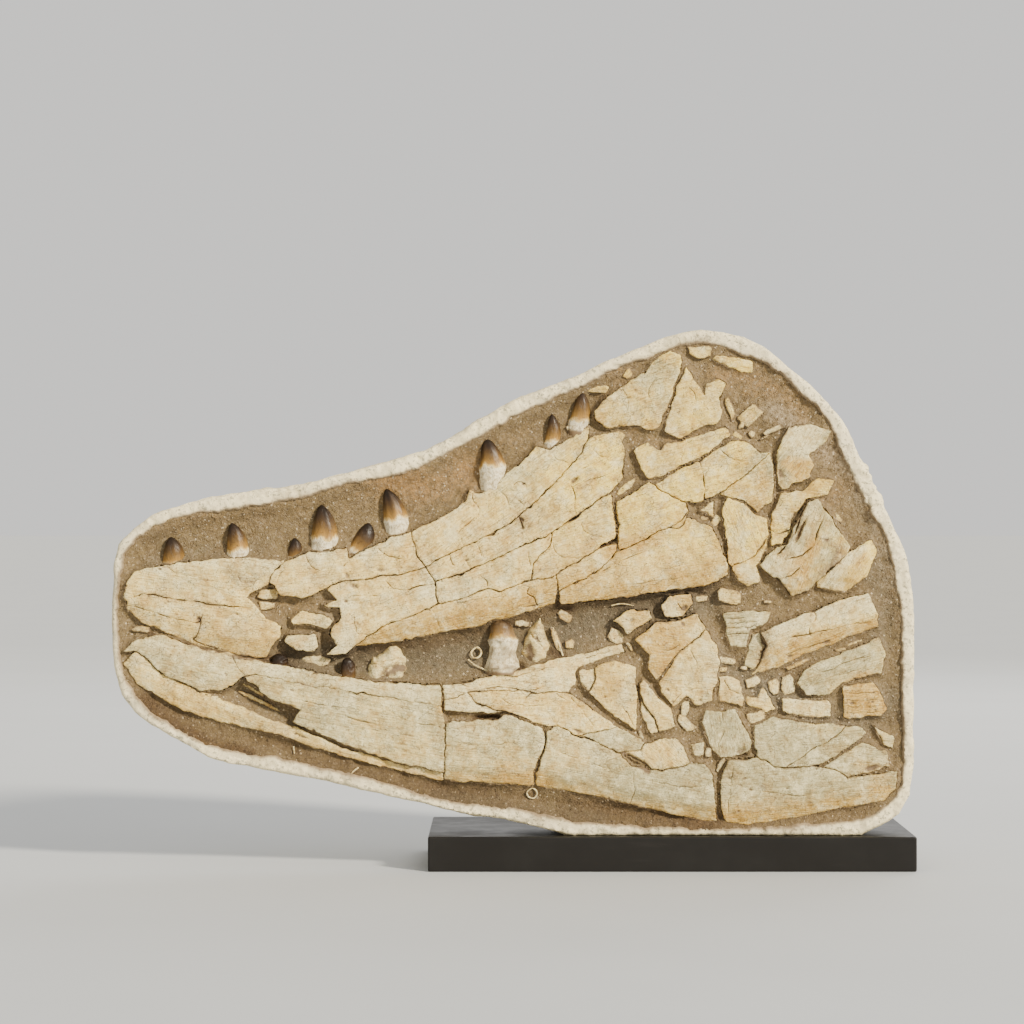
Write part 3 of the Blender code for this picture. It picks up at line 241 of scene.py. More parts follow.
# Hollows worn in a plate: middle, half length, half width, turn in degrees and depth
HOLES = {
    "upper_dentary_tip": ((237, 614, 2.4, 1.4, 10, 1.6), (199, 619, 3.0, 2.0, 60, 2.4),
                          (262, 592, 3.0, 1.2, -20, 1.2), (160, 569, 2.4, 1.0, 0, 1.0)),
    "upper_dentary_front": ((347, 575, 3.6, 2.6, 40, 2.4), (381, 570, 6.0, 2.2, 0, 1.6)),
    "upper_dentary_middle": ((523, 484, 2.4, 1.6, 0, 1.6), (534, 521, 3.0, 1.6, -30, 1.2)),
    "upper_dentary_rear": ((574, 480.5, 6.2, 2.9, -36, 4.5), (522, 520, 3.0, 2.2, 30, 2.6),
                           (467, 560, 2.4, 1.4, 0, 1.6)),
    "upper_dentary_wall": ((571, 519, 10.0, 2.8, -28, 3.5),),
    "upper_splenial_front": ((354, 586, 5.5, 3.0, 20, 2.4), (346, 601, 3.0, 2.0, 0, 1.6)),
    "plate_surangular_rear": ((781, 474, 6.0, 4.0, 70, 2.4),),
    "plate_articular_top": ((795, 515, 3.4, 2.2, 60, 2.4),),
    "plate_articular_block": ((850, 556, 8.0, 3.4, -48, 3.0), (800, 531, 16.0, 1.7, -66, 4.5),
                              (826, 540, 2.4, 1.4, 0, 1.6)),
    "plate_retroarticular": ((826, 642, 5.0, 2.4, -15, 1.6), (790, 656, 4.0, 2.0, -20, 1.2)),
    "plate_lower_square": ((852, 703, 3.4, 1.8, 0, 1.8), (872, 702, 2.6, 1.4, 0, 1.4),
                           (875, 710, 2.0, 1.2, 0, 1.2)),
    "plate_knob": ((684, 608, 4.2, 3.0, -40, 2.6),),
    "plate_spongy": ((766, 634, 1.8, 1.3, 20, 1.6), (771, 641, 1.5, 1.2, 0, 1.5),
                     (763, 643, 1.6, 1.3, 60, 1.6), (768, 649, 1.7, 1.2, 10, 1.6),
                     (761, 652, 1.5, 1.1, 40, 1.4), (765, 658, 1.6, 1.2, 80, 1.5),
                     (770, 655, 1.2, 1.0, 0, 1.2), (759, 660, 1.3, 1.0, 0, 1.2)),
    "plate_rib_rear": ((872, 768, 9.0, 3.2, -12, 2.4),),
    "plate_ochre": ((683, 624, 3.4, 2.4, 40, 1.4),),
    "plate_shield": ((605, 697, 1.8, 1.4, 0, 1.6),),
    "plate_broad": ((700, 700, 2.4, 1.6, 0, 1.4), (668, 690, 2.6, 1.6, 40, 1.4)),
    "plate_flake": ((632, 620, 4.0, 2.2, -20, 1.4),),
    "plate_olive": ((741, 751, 6.5, 2.6, -20, 3.0),),
    "lower_dentary_upper": ((226, 674, 3.0, 1.6, 60, 1.0),),
    "lower_dentary_shelf": ((233, 696, 8.0, 1.6, 25, 1.6), (300, 736, 10.0, 1.4, 22, 1.6)),
    "lower_splenial_front": ((314, 731, 2.6, 2.0, 60, 3.4), (292, 690, 3.0, 1.6, 20, 1.0)),
    "lower_coronoid_lamina": ((519, 668, 7.0, 4.4, 0, 3.5), (545, 682, 2.6, 1.6, 0, 1.2)),
    "lower_wedge": ((578, 731, 7.0, 2.2, 20, 2.2),),
    "lower_foramen_plate": ((636, 761, 16.0, 4.0, 31, 5.0),),
    "lower_angular_middle": ((636.5, 761.5, 17.0, 5.4, 31, 6.5), (551, 740, 2.4, 1.6, 0, 1.2)),
    "lower_angular_rear": ((729, 778, 2.0, 1.4, 0, 1.2), (745, 778, 2.2, 1.3, 0, 1.3),
                           (740, 785, 2.6, 1.3, 10, 1.4), (750, 789, 2.4, 1.3, 0, 1.2),
                           (787, 788, 2.2, 1.3, 0, 1.2), (738, 811, 2.2, 1.3, 0, 1.2)),
}

# Stains of the bone: colour, strength, reach and the line it follows. A few are partly or wholly
# painted shade, as marked below
STAINS = (
    ("ochre", 0.50, 13, ((150, 628), (200, 645), (266, 654))),
    ("ochre", 0.35, 16, ((190, 612), (235, 622), (270, 634))),
    ("ochre", 0.45, 9, ((274, 588), (300, 597), (325, 588))),
    ("ochre", 0.30, 10, ((344, 583), (380, 580), (424, 570))),
    ("ochre", 0.75, 11, ((354, 647), (420, 634), (476, 622), (532, 607), (556, 601))),
    ("ochre", 0.55, 14, ((400, 628), (440, 614), (500, 602), (550, 592))),
    ("ochre", 0.75, 11, ((561, 604), (636, 595), (694, 587), (729, 573))),
    ("ochre", 0.40, 22, ((600, 590), (660, 580), (715, 560))),
    ("ochre", 0.55, 13, ((622, 547), (650, 534), (676, 524), (686, 514))),
    ("ochre", 0.50, 8, ((560, 588), (600, 567), (614, 550))),
    ("ochre", 0.35, 12, ((545, 575), (575, 556), (612, 538))),
    ("ochre", 0.55, 9, ((600, 425), (625, 427), (652, 429))),
    ("ochre", 0.40, 9, ((600, 411), (612, 400), (630, 384))),
    ("ochre", 0.30, 26, ((692, 400), (700, 424), (690, 432))),
    ("ochre", 0.30, 14, ((640, 452), (660, 470), (700, 456))),
    ("ochre", 0.65, 13, ((738, 488), (756, 503), (765, 480))),
    ("ochre", 0.95, 9, ((800, 468), (812, 462), (806, 478))),
    ("ochre", 0.35, 9, ((812, 486), (834, 481))),
    ("ochre", 0.45, 9, ((738, 576), (748, 582), (758, 572))),
    ("ochre", 0.35, 12, ((728, 545), (732, 558), (750, 552))),
    ("ochre", 0.55, 15, ((786, 565), (796, 580), (792, 595))),
    ("ochre", 0.45, 13, ((813, 520), (816, 540), (806, 560))),
    ("ochre", 0.75, 11, ((848, 556), (862, 560), (850, 580), (830, 588))),
    ("ochre", 1.00, 10, ((768, 657), (800, 650), (840, 637), (874, 628))),
    ("ochre", 0.70, 7, ((764, 668), (780, 660), (800, 655))),
    ("ochre", 0.90, 18, ((848, 700), (878, 700))),
    ("ochre", 0.50, 7, ((845, 681), (878, 673))),
    ("ochre", 0.65, 20, ((660, 640), (652, 662), (662, 672))),
    ("ochre", 0.55, 12, ((602, 672), (610, 684), (606, 692))),
    ("ochre", 0.50, 10, ((676, 606), (690, 600), (684, 612))),
    ("ochre", 0.45, 10, ((620, 626), (640, 616))),
    ("ochre", 0.45, 7, ((145, 688), (190, 712), (270, 735), (330, 753), (440, 780))),
    ("ochre", 0.30, 13, ((170, 680), (215, 692), (250, 690))),
    ("ochre", 0.60, 9, ((446, 779), (500, 783), (532, 783))),
    ("ochre", 0.45, 10, ((505, 765), (525, 762), (532, 775))),
    ("ochre", 0.65, 12, ((537, 785), (600, 797), (660, 812), (716, 820))),
    ("ochre", 0.65, 11, ((725, 822), (790, 816), (850, 806), (893, 793))),
    ("ochre", 0.30, 22, ((740, 805), (800, 800), (860, 793))),
    ("ochre", 0.45, 12, ((622, 752), (640, 757), (658, 760))),
    ("ochre", 0.40, 12, ((850, 752), (862, 765), (880, 768))),
    ("ochre", 0.80, 6, ((446, 708), (480, 711), (500, 711))),
    ("ochre", 0.35, 10, ((470, 690), (450, 700))),
    ("white", 0.55, 8, ((150, 569), (192, 563), (247, 560), (276, 566))),
    ("white", 0.60, 8, ((300, 556), (347, 551), (366, 553), (400, 538))),
    ("white", 0.45, 9, ((430, 527), (470, 500), (520, 467), (560, 445))),
    ("white", 0.60, 16, ((340, 606), (350, 622), (344, 646))),
    ("white", 0.40, 22, ((400, 600), (430, 592), (480, 582))),
    ("white", 0.75, 15, ((790, 436), (812, 430), (800, 450))),
    ("white", 0.45, 6, ((797, 548), (805, 532), (816, 506))),
    # Partly painted shade: a dark line in the cleft of the articular block
    ("soil", 0.35, 3, ((784, 558), (793, 543), (801, 524), (806, 508))),
    ("warm_and_lit", 0.80, 14, ((826, 518), (828, 545), (812, 572), (818, 590))),
    ("white", 0.60, 8, ((764, 560), (776, 572), (790, 566))),
    ("white", 0.80, 8, ((828, 582), (842, 566), (860, 550))),
    ("white", 0.85, 13, ((768, 632), (790, 622), (830, 608), (868, 600))),
    ("white", 0.50, 12, ((160, 645), (220, 662), (300, 674), (430, 692))),
    ("white", 0.35, 10, ((690, 626), (700, 618))),
    ("white", 0.50, 8, ((670, 612), (664, 604))),
    ("white", 0.40, 16, ((560, 742), (600, 756), (560, 760))),
    ("white", 0.35, 16, ((460, 726), (500, 722), (490, 736))),
    ("grey", 0.40, 20, ((160, 578), (220, 572), (260, 570))),
    ("grey", 0.45, 18, ((470, 500), (540, 458), (570, 450))),
    ("grey", 0.45, 20, ((640, 380), (665, 372), (655, 400))),
    ("grey", 0.50, 18, ((752, 470), (768, 462), (770, 480))),
    ("grey", 0.85, 13, ((786, 432), (828, 428), (782, 470))),
    ("ochre", 0.55, 12, ((795, 465), (806, 458))),
    ("ochre", 0.40, 10, ((812, 545), (804, 570), (800, 585))),
    ("grey", 0.60, 12, ((756, 640), (766, 650))),
    # Grey in the cleft of the articular block: its own grey bone, and partly painted shade
    ("grey", 0.95, 8, ((790, 556), (802, 536), (813, 512))),
    ("grey", 0.65, 8, ((846, 564), (836, 578), (824, 586))),
    ("grey", 0.30, 26, ((440, 590), (500, 570), (530, 556))),
    ("grey", 0.35, 18, ((690, 665), (705, 690))),
    ("soil", 0.55, 7, ((826, 540), (838, 548), (836, 560), (824, 572))),
    ("soil", 0.45, 6, ((805, 600), (815, 594), (828, 592))),
    ("soil", 0.40, 5, ((150, 594), (190, 601), (220, 605))),
    ("soil", 0.45, 6, ((196, 616), (204, 624), (198, 636))),
    ("soil", 0.45, 5, ((240, 580), (254, 584))),
    ("soil", 0.35, 6, ((518, 516), (528, 530))),
    ("soil", 0.30, 8, ((690, 606), (684, 614))),
    ("soil", 0.85, 3.4, ((624, 755), (635, 762), (648, 769))),
    # Painted shadow: a thin dark line along the seam where the upper jaw's tip lies on the lower
    # jaw
    ("soil", 0.50, 2.0, ((150, 630), (165, 634.5), (180, 641), (200, 648), (230, 654), (262, 660))),
    ("soil", 0.35, 8, ((868, 768), (884, 764))),
    ("soil", 0.30, 7, ((600, 748), (622, 752))),
    ("soil", 0.35, 7, ((778, 500), (790, 520), (782, 540))),
    ("soil", 0.45, 7, ((768, 634), (762, 650), (764, 662))),
    # Grey over the lower jaw's rear: its own grey tone, and partly painted shade, darker low down
    # where less light falls
    ("grey", 0.85, 30, ((620, 790), (680, 800), (720, 740), (780, 770), (850, 780))),
)
# The stains that a place of a bone can have; the warm one is partly painted light, a warmer tone
# high up on the right
TONES = ("ochre", "grey", "white", "soil", "warm_and_lit")
# What a whole plate of a finish is stained with, and the plates that are stained as another's
SLOT_TONES = {"bone_grey": ("grey", 0.62), "bone_ochre": ("ochre", 0.45),
              "bone_white": ("white", 0.5)}
PAINTED_AS = {"lower_dentary_shelf": "bone_cream", "upper_splenial_keel": "bone_cream",
              "plate_retroarticular": "bone_cream", "plate_surangular_rear": "bone_cream"}

# The run of the grain in a plate, in radians, where it differs from its neighbours'
LIE = {
    "upper_dentary_tip": 0.12, "upper_dentary_front": -0.12, "upper_splenial_keel": -0.26,
    "upper_dentary_middle": -0.62, "upper_dentary_rear": -0.52, "upper_angular_rear": -0.16,
    "upper_splenial_front": -0.30, "plate_articular_block": 1.9, "plate_articular_knob": 2.2,
    "plate_retroarticular": -0.38, "plate_lower_grey": -0.32, "plate_lower_square": 0.0,
    "plate_striated": -0.1, "plate_surangular_rear": -0.9, "plate_rib_front": -0.1,
    "lower_dentary_upper": 0.17, "lower_dentary_shelf": 0.38, "lower_splenial_front": 0.20,
    "lower_splenial_rear": 0.08, "lower_angular_middle": 0.20, "lower_angular_rear": -0.06,
    "plate_prearticular_top": 1.2, "plate_olive": 1.4, "lower_foramen_plate": 0.7,
}
# The run of the grain in all other plates: those of the upper jaw, whose names start so, and
# those of the lower one
UPPER_LIE = -0.30
LOWER_LIE = 0.12
UPPER_NAMES = ("upper", "plate_sur", "plate_cor")

# Stains of the matrix: colour, strength, reach and the line it follows. The shade entries are
# painted shade, not stains: along the gap between the jaws, under the lower jaw, along the bottom
# and the right side of the rim, and in small hollows
MATRIX_STAINS = (
    ("rust", 0.41, 26, ((392, 486), (430, 490), (462, 478))),
    ("rust", 0.25, 16, ((470, 460), (500, 446), (530, 430))),
    ("rust", 0.30, 14, ((612, 372), (624, 384), (604, 396))),
    ("rust", 0.36, 22, ((720, 372), (770, 386), (800, 408))),
    ("rust", 0.30, 18, ((824, 450), (846, 470), (838, 500))),
    ("rust", 0.28, 10, ((630, 432), (640, 446), (700, 440))),
    ("rust", 0.25, 12, ((282, 606), (310, 604), (330, 606))),
    ("rust", 0.22, 14, ((150, 720), (200, 745), (240, 755))),
    ("rust", 0.19, 12, ((580, 800), (640, 818), (700, 826))),
    ("grey", 0.68, 24, ((290, 655), (420, 662), (500, 650))),
    ("grey", 0.68, 26, ((540, 640), (600, 622), (640, 606), (700, 600))),
    ("grey", 0.54, 20, ((700, 650), (730, 670), (760, 690))),
    ("grey", 0.54, 22, ((780, 690), (850, 735), (890, 700))),
    ("grey", 0.50, 20, ((870, 560), (885, 600), (880, 640))),
    ("grey", 0.41, 18, ((440, 800), (520, 812), (600, 820))),
    ("grey", 0.50, 16, ((226, 677), (262, 700), (300, 724))),
    ("grey", 0.41, 14, ((160, 545), (150, 560), (260, 545))),
    ("shade", 0.26, 9, ((150, 700), (225, 730), (320, 758), (440, 788), (535, 793))),
    ("shade", 0.30, 10, ((560, 796), (640, 812), (716, 826))),
    ("shade", 0.45, 9, ((354, 652), (450, 638), (556, 610))),
    ("shade", 0.38, 9, ((570, 608), (650, 600), (726, 580))),
    ("shade", 0.45, 6, ((476, 717), (500, 718))),
    ("shade", 0.85, 4, ((137, 627), (160, 641), (200, 652), (240, 657), (268, 661))),
    ("shade", 0.38, 12, ((262, 664), (280, 656), (290, 668))),
    ("shade", 0.24, 20, ((300, 772), (420, 802), (520, 816), (620, 828), (700, 832))),
    ("rust", 0.22, 26, ((170, 520), (300, 500), (400, 470))),
    ("shade", 0.40, 22, ((128, 690), (200, 742), (300, 770), (420, 798), (560, 822), (700, 834),
                         (860, 815))),
    ("shade", 0.75, 5, ((549, 656), (563, 658))),
    ("shade", 0.55, 9, ((140, 705), (200, 742), (250, 758))),
    ("shade", 0.10, 26, ((290, 655), (420, 662), (560, 640), (700, 605))),
    ("shade", 0.18, 24, ((880, 540), (893, 620), (893, 700), (880, 760))),
    ("pale", 0.44, 18, ((775, 410), (800, 430), (850, 470))),
    ("pale", 0.36, 14, ((860, 500), (882, 540), (892, 580))),
    ("pale", 0.28, 12, ((300, 575), (330, 600), (330, 630))),
)

# The long hollows of the matrix: line, half width and depth
HOLLOWS = (
    (((140, 545), (280, 530), (400, 505), (500, 452), (590, 405)), 26.0, 7.0),
    (((290, 655), (420, 660), (560, 628), (700, 598)), 24.0, 10.0),
    (((140, 692), (250, 742)), 14.0, 3.0),
    (((262, 746), (420, 788), (600, 812), (760, 828), (890, 806)), 16.0, 6.0),
    (((236, 690), (292, 716)), 12.0, 8.0),
)
# Plates whose folds reach beyond their solids, in millimetres
GROWTH = {"lower_dentary_shelf": 1.3, "lower_splenial_front": 0.7, "upper_dentary_tip": 0.7}
# Stretches of an edge that lean over the neighbour's: node, line and how far they move
OVERHANGS = {
    "upper_dentary_tip": (((188, 640), (200, 643), (223, 648), (247, 653), (272, 655)),
                          (-0.6, 2.6)),
    "lower_dentary_upper": (((188, 644), (203, 650), (235, 657), (268, 662)), (0.5, -1.8)),
}
# Slots sunk in the matrix: middle, half length, half width, turn in degrees and depth. Each is also
# darkened with painted shade
DEEPS = ((489, 718, 15, 3.0, 0, 6.0), (608, 543, 12, 3, -35, 3.0), (738, 752, 9, 4, 20, 4.0),
         (519, 668, 7, 5, 0, 5.0), (572, 523, 9, 4, -30, 3.0), (565, 606, 9, 6, 20, 3.0))
# The height of the matrix in the open and at the rim, and how far in its slope reaches
MATRIX_BED = -6.0
MATRIX_AT_RIM = -3.0
RIM_SLOPE = 15.0
# The step of the plates' outlines that the matrix is fitted to
FITTED_STEP = 1.2

# Chips of bone in the matrix: middle x and y, length, width, turn in degrees and finish
CHIPS = (
    (268, 594, 25, 11, 0, "cream"), (266, 606, 20, 10, 0, "cream"), (627, 487, 26, 8, -42, "cream"),
    (704, 519, 9, 5, 10, "white"), (717, 520, 15, 10, -50, "white"),
    (789, 684, 23, 15, 84, "white"), (796, 665, 31, 6, -28, "ochre"), (600, 389, 30, 9, 0, "cream"),
    (628, 374, 13, 8, -50, "cream"), (699, 352, 24, 14, 0, "cream"),
    (750, 416, 25, 17, -40, "cream"), (730, 408, 28, 7, 72, "cream"),
    (773, 430, 26, 6, -20, "white"), (731, 597, 27, 19, 5, "cream"),
    (686, 724, 26, 11, 38, "cream"), (685, 708, 20, 10, 92, "white"),
    (615, 636, 19, 14, 20, "white"), (703, 599, 13, 8, 0, "white"),
    (757, 718, 25, 13, -14, "white"), (774, 687, 19, 12, 82, "cream"),
    (838, 518, 15, 7, 45, "cream"), (557, 642, 28, 6, 72, "cream"), (570, 645, 10, 10, 80, "cream"),
    (565, 616, 19, 10, 35, "ochre"), (522, 624, 19, 7, 0, "white"), (140, 629, 20, 8, 0, "grey"),
    (259, 702, 54, 4, 25, "cream"), (630, 647, 14, 5, 60, "cream"), (315, 662, 33, 11, 3, "white"),
    (569, 428, 7, 5, 60, "white"), (252, 690, 30, 4, 30, "cream"), (307, 740, 34, 4, 24, "white"),
    (283, 729, 24, 4, 22, "cream"), (727, 660, 19, 8, 10, "white"), (722, 670, 12, 6, -10, "cream"),
    (753, 682, 18, 12, -35, "white"), (762, 712, 14, 4, 60, "white"), (744, 668, 9, 6, 20, "white"),
    (716, 650, 9, 5, -60, "cream"), (768, 602, 10, 4, 0, "white"), (721, 765, 20, 5, -62, "white"),
    (709, 752, 8, 12, 15, "white"), (641, 735, 14, 5, 70, "grey"), (856, 644, 20, 6, -18, "cream"),
    (840, 650, 14, 5, -10, "cream"), (775, 495, 9, 4, 80, "white"), (765, 437, 12, 3, -30, "white"),
    (738, 436, 12, 7, 30, "cream"), (752, 434, 8, 9, 10, "white"), (742, 425, 6, 10, 30, "cream"),
    (776, 541, 7, 4, 40, "white"),
)
# White rings and strands in the matrix: radius, height over the bed, closed or not, the line
STRANDS = (
    (1.0, 3.6, True, ((476, 648), (480, 650), (481, 654), (478, 658), (473, 658), (471, 653))),
    (0.8, 3.0, False, ((468, 660), (474, 665), (480, 668), (487, 671), (493, 673))),
    (0.75, 2.0, True, ((532, 789), (536, 791), (537, 795), (534, 799), (529, 798), (527, 793))),
    (0.7, 2.2, False, ((351, 774), (354, 771), (358, 768))),
    (0.8, 3.4, False, ((553, 628), (556, 637), (560, 647), (563, 656))),
    (0.6, 3.0, False, ((612, 606), (622, 604), (634, 606))),
    (0.5, 2.0, False, ((293, 747), (293.4, 751), (294, 754))),
)

# Shapes of a tooth: the share of the way to its tip and the share of its width there
SHARP = ((0.0, 1.0), (0.2, 0.98), (0.4, 0.92), (0.55, 0.83), (0.7, 0.69), (0.82, 0.53),
         (0.91, 0.36), (0.97, 0.2), (1.0, 0.06))
BLUNT = ((0.0, 1.14), (0.12, 1.05), (0.3, 0.96), (0.5, 0.88), (0.66, 0.80), (0.70, 0.76),
         (0.86, 0.68), (0.95, 0.52), (1.0, 0.2))
STUMP = ((0.0, 1.0), (0.4, 0.97), (0.7, 0.86), (0.88, 0.66), (0.97, 0.4), (1.0, 0.12))
# Teeth: name, tip, middle of the base, width, height of the axis, depth of the root, shape,
# share that is root, and darkness
TEETH = (
    ("tooth_upper_1", (170, 537), (172, 563), 22, -11, 9, SHARP, -0.02, 0.75),
    ("tooth_upper_2", (231, 523), (237, 557), 22, -11, 9, SHARP, 0.14, 0.85),
    ("tooth_upper_3", (294, 538), (294, 557), 15, -11, 9, SHARP, -0.25, 1.0),
    ("tooth_upper_4", (321, 505), (323, 548), 27, -11, 9, SHARP, 0.20, 0.9),
    ("tooth_upper_5", (369, 523), (358, 553), 24, -11, 9, SHARP, 0.02, 1.0),
    ("tooth_upper_6", (386, 489), (397, 532), 25, -11, 9, SHARP, 0.27, 0.95),
    ("tooth_upper_7", (486, 438), (493, 488), 28, -11, 9, SHARP, 0.44, 0.9),
    ("tooth_upper_8", (552, 414), (552, 446), 16, -11, 9, SHARP, 0.08, 0.8),
    ("tooth_upper_9", (582, 391), (578, 428), 20, -11, 9, SHARP, 0.2, 0.6),
    ("tooth_lower_1", (279, 654), (278, 670), 20, -8, 5, STUMP, -0.6, 1.0),
    ("tooth_lower_2", (347, 658), (347, 683), 16, -9, 4, STUMP, -0.4, 0.8),
    ("tooth_lower_4", (500, 620), (501, 670), 32, -10, 5, BLUNT, 0.62, 0.50),
)
# How many sides and rings a crown has
TOOTH_SIDES = 36
TOOTH_RINGS = 34
# Broken roots that stand as crumbly lumps: outline, and the line of the hollow in them
ROOTS = (
    ("tooth_lower_3", ((366, 676), (368, 665), (373, 657.5), (381, 654), (388, 646.5),
                       (395.5, 645.5), (401, 651), (405, 658.5), (406, 669), (403, 681),
                       (385, 684), (368, 683)),
     ((384, 677), (390, 670), (400, 668))),
    ("tooth_lower_5", ((525.5, 639), (529, 630), (534, 624), (540, 617.5), (543, 626), (546, 637),
                       (550.5, 646), (548.5, 655), (544, 662), (541, 669), (524, 670), (521, 653)),
     ((528, 662), (531, 656), (529, 650))),
)

# The jacket's back: the share of the way in to its spine and the height of its rings, the line
# of the spine, and how far back the rim of the solid is rounded
JACKET_BACK = ((0.0, -70.0), (0.07, -94.0), (0.28, -118.0), (0.58, -133.0), (0.85, -138.0))
SPINE = ((250.0, 645.0), (760.0, 610.0))
RIM_ROUND = 2.5
# The rows of the jacket's outer wall and of its back, and the depths of its inner wall
WALL_ROWS = 15
BACK_ROWS = 30
INNER_DEPTHS = (-8.0, -20.0, -40.0)
# Where the rim is knobbly outside, and where it crumbles inside
KNOB = ((866, 466), (873, 480), (878, 496))
CRUMBLY = ((850, 470), (880, 505))
# Laps of plaster bandage that stand up from the rim: thickness and outline
LAPS = (
    (1.7, ((742, 338), (776, 350), (812, 380), (850, 425), (878, 470), (884, 500), (872, 506),
           (858, 484), (840, 452), (800, 402), (762, 368), (738, 356))),
    (1.3, ((560, 385), (590, 352), (628, 338), (676, 330), (700, 340), (660, 352), (600, 372),
           (578, 396))),
    (1.2, ((120, 560), (150, 530), (200, 515), (240, 520), (200, 534), (150, 556), (130, 590))),
    (1.2, ((300, 500), (360, 485), (420, 470), (430, 486), (370, 500), (306, 514))),
    (1.3, ((896, 640), (920, 660), (922, 740), (905, 770), (892, 700))),
    (1.2, ((150, 720), (210, 755), (280, 778), (276, 792), (200, 770), (146, 740))),
    (1.3, ((420, 800), (500, 818), (560, 830), (556, 842), (480, 836), (414, 816))),
)

# Soft area lights: name, place, width and height, power and colour
LIGHTS = (
    ("fill_light", (2.8, -2.4, 1.2), (2.4, 2.0), 18, (0.95, 0.97, 1.0)),
    ("back_light", (1.2, 3.0, 2.4), (2.2, 1.6), 60, (1.0, 0.98, 0.95)),
)
# The place that they face
LIT_PLACE = (0, 0, 0.3)
# The sun: the way it shines, its colour, its strength and how wide it looks
SUN_WAY = (-0.62, 0.66, -0.42)
SUN_COLOUR = (1.0, 0.915, 0.76)
SUN_POWER = 7.0
SUN_WIDTH = math.radians(7)
# The even light of the room
ROOM_COLOUR = (1.0, 0.985, 0.955, 1.0)
ROOM_STRENGTH = 0.92
# The floor: the radii of its rings in metres, and how many sides they have
FLOOR_RINGS = (0.6, 1.5, 3.5, 8.0, 20.0, 45.0)
FLOOR_SIDES = 64

# ---------------------------------------------------------------- numbers and lines

LATTICE = np.random.default_rng(LATTICE_SEED).random((256, 256)) * 2.0 - 1.0


def to_model(x, y, h):
    """Places of the survey grid in the model's own frame."""
    x, y, h = np.broadcast_arrays(np.asarray(x, float), y, h)
    return np.stack(((x - CENTRE_X) * MM, FACE_Y - h * MM, (FLOOR_Y - y) * MM), axis=-1)


def from_model(places):
    """Places of the model's own frame, given by x and z, on the survey grid."""
    return np.array([(x / MM + CENTRE_X, FLOOR_Y - z / MM) for x, z in places])


def lumps(x, y, size, seed=0):
    """Smooth lumps from -1 to 1, each about a size across."""
    u = np.asarray(x, float) / size + 37.7 * seed
    v = np.asarray(y, float) / size + 91.3 * seed
    i, j = np.floor(u).astype(int), np.floor(v).astype(int)
    s, t = u - i, v - j
    s, t = s * s * (3 - 2 * s), t * t * (3 - 2 * t)
    a, b = LATTICE[i % 256, j % 256], LATTICE[(i + 1) % 256, j % 256]
    c, d = LATTICE[i % 256, (j + 1) % 256], LATTICE[(i + 1) % 256, (j + 1) % 256]
    return (a + (b - a) * s) * (1 - t) + (c + (d - c) * s) * t


def rock(x, y, size, seed=0, octaves=3):
    """Lumps with smaller lumps on them."""
    total, strength = 0.0, 1.0
    for octave in range(octaves):
        total = total + strength * lumps(x, y, size / 2.03 ** octave, seed + octave)
        strength *= 0.5
    return total


def smooth(t):
    """An even rise from 0 to 1."""
    t = np.clip(t, 0.0, 1.0)
    return t * t * (3.0 - 2.0 * t)


def rounded(gap, reach):
    """The drop of a rounded edge: 1 at the edge, 0 from its reach inwards."""
    return 1.0 - np.sqrt(1.0 - np.clip(1.0 - gap / reach, 0.0, 1.0) ** 2)


def turned(x, y, angle):
    """Places turned about the origin."""
    c, s = math.cos(angle), math.sin(angle)
    return x * c - y * s, x * s + y * c


def in_oval(x, y, middle_x, middle_y, long, short, turn):
    """How far places lie from the middle of an oval, 1 being its edge."""
    u, v = turned(x - middle_x, y - middle_y, -math.radians(turn))
    return np.hypot(u / long, v / short)


def divided(line, step, closed=False):
    """A line with more places along it, none further apart than a step."""
    line = np.asarray(line, float)
    ends = np.roll(line, -1, axis=0) if closed else line[1:]
    result = []
    for a, b in zip(line, ends):
        count = max(1, int(np.ceil(np.linalg.norm(b - a) / step)))
        result.extend(a + (b - a) * k / count for k in range(count))
    if not closed:
        result.append(line[-1])
    return np.array(result)


def curved(line, step, closed=False):
    """A smooth curve through the places of a line."""
    line = np.asarray(line, float)
    if closed:
        padded = np.concatenate((line[-1:], line, line[:2]))
    else:
        padded = np.concatenate((line[:1], line, line[-1:]))
    result = []
    for p0, p1, p2, p3 in zip(padded, padded[1:], padded[2:], padded[3:]):
        count = max(1, int(np.ceil(np.linalg.norm(p2 - p1) / step)))
        t = (np.arange(count) / count)[:, None]
        result.append(0.5 * (2 * p1 + (p2 - p0) * t + (2 * p0 - 5 * p1 + 4 * p2 - p3) * t ** 2
                             + (3 * p1 - p0 - 3 * p2 + p3) * t ** 3))
    if not closed:
        result.append(line[-1:])
    return np.concatenate(result)


def directions(line, closed=False):
    """The direction of a line at each of its places."""
    if closed:
        along = np.roll(line, -1, axis=0) - np.roll(line, 1, axis=0)
    else:
        along = np.gradient(line, axis=0)
    return along / np.maximum(np.linalg.norm(along, axis=1), 1e-9)[:, None]


def across(line, closed=False):
    """The directions square to a line at each of its places."""
    along = directions(line, closed)
    return np.stack((-along[:, 1], along[:, 0]), axis=1)


def area(outline):
    """Twice the signed area of an outline."""
    x, y = outline[:, 0], outline[:, 1]
    return float(np.sum(x * np.roll(y, -1) - np.roll(x, -1) * y))


def inwards(outline):
    """The directions into an outline at each of its places."""
    return across(outline, True) * (1.0 if area(outline) > 0 else -1.0)


def ragged(outline, step, amount, size, seed):
    """A closed outline with more places, which wander in and out by lumps of a size."""
    line = divided(outline, step, True)
    return line + inwards(line) * (amount * rock(*line.T, size, seed))[:, None]


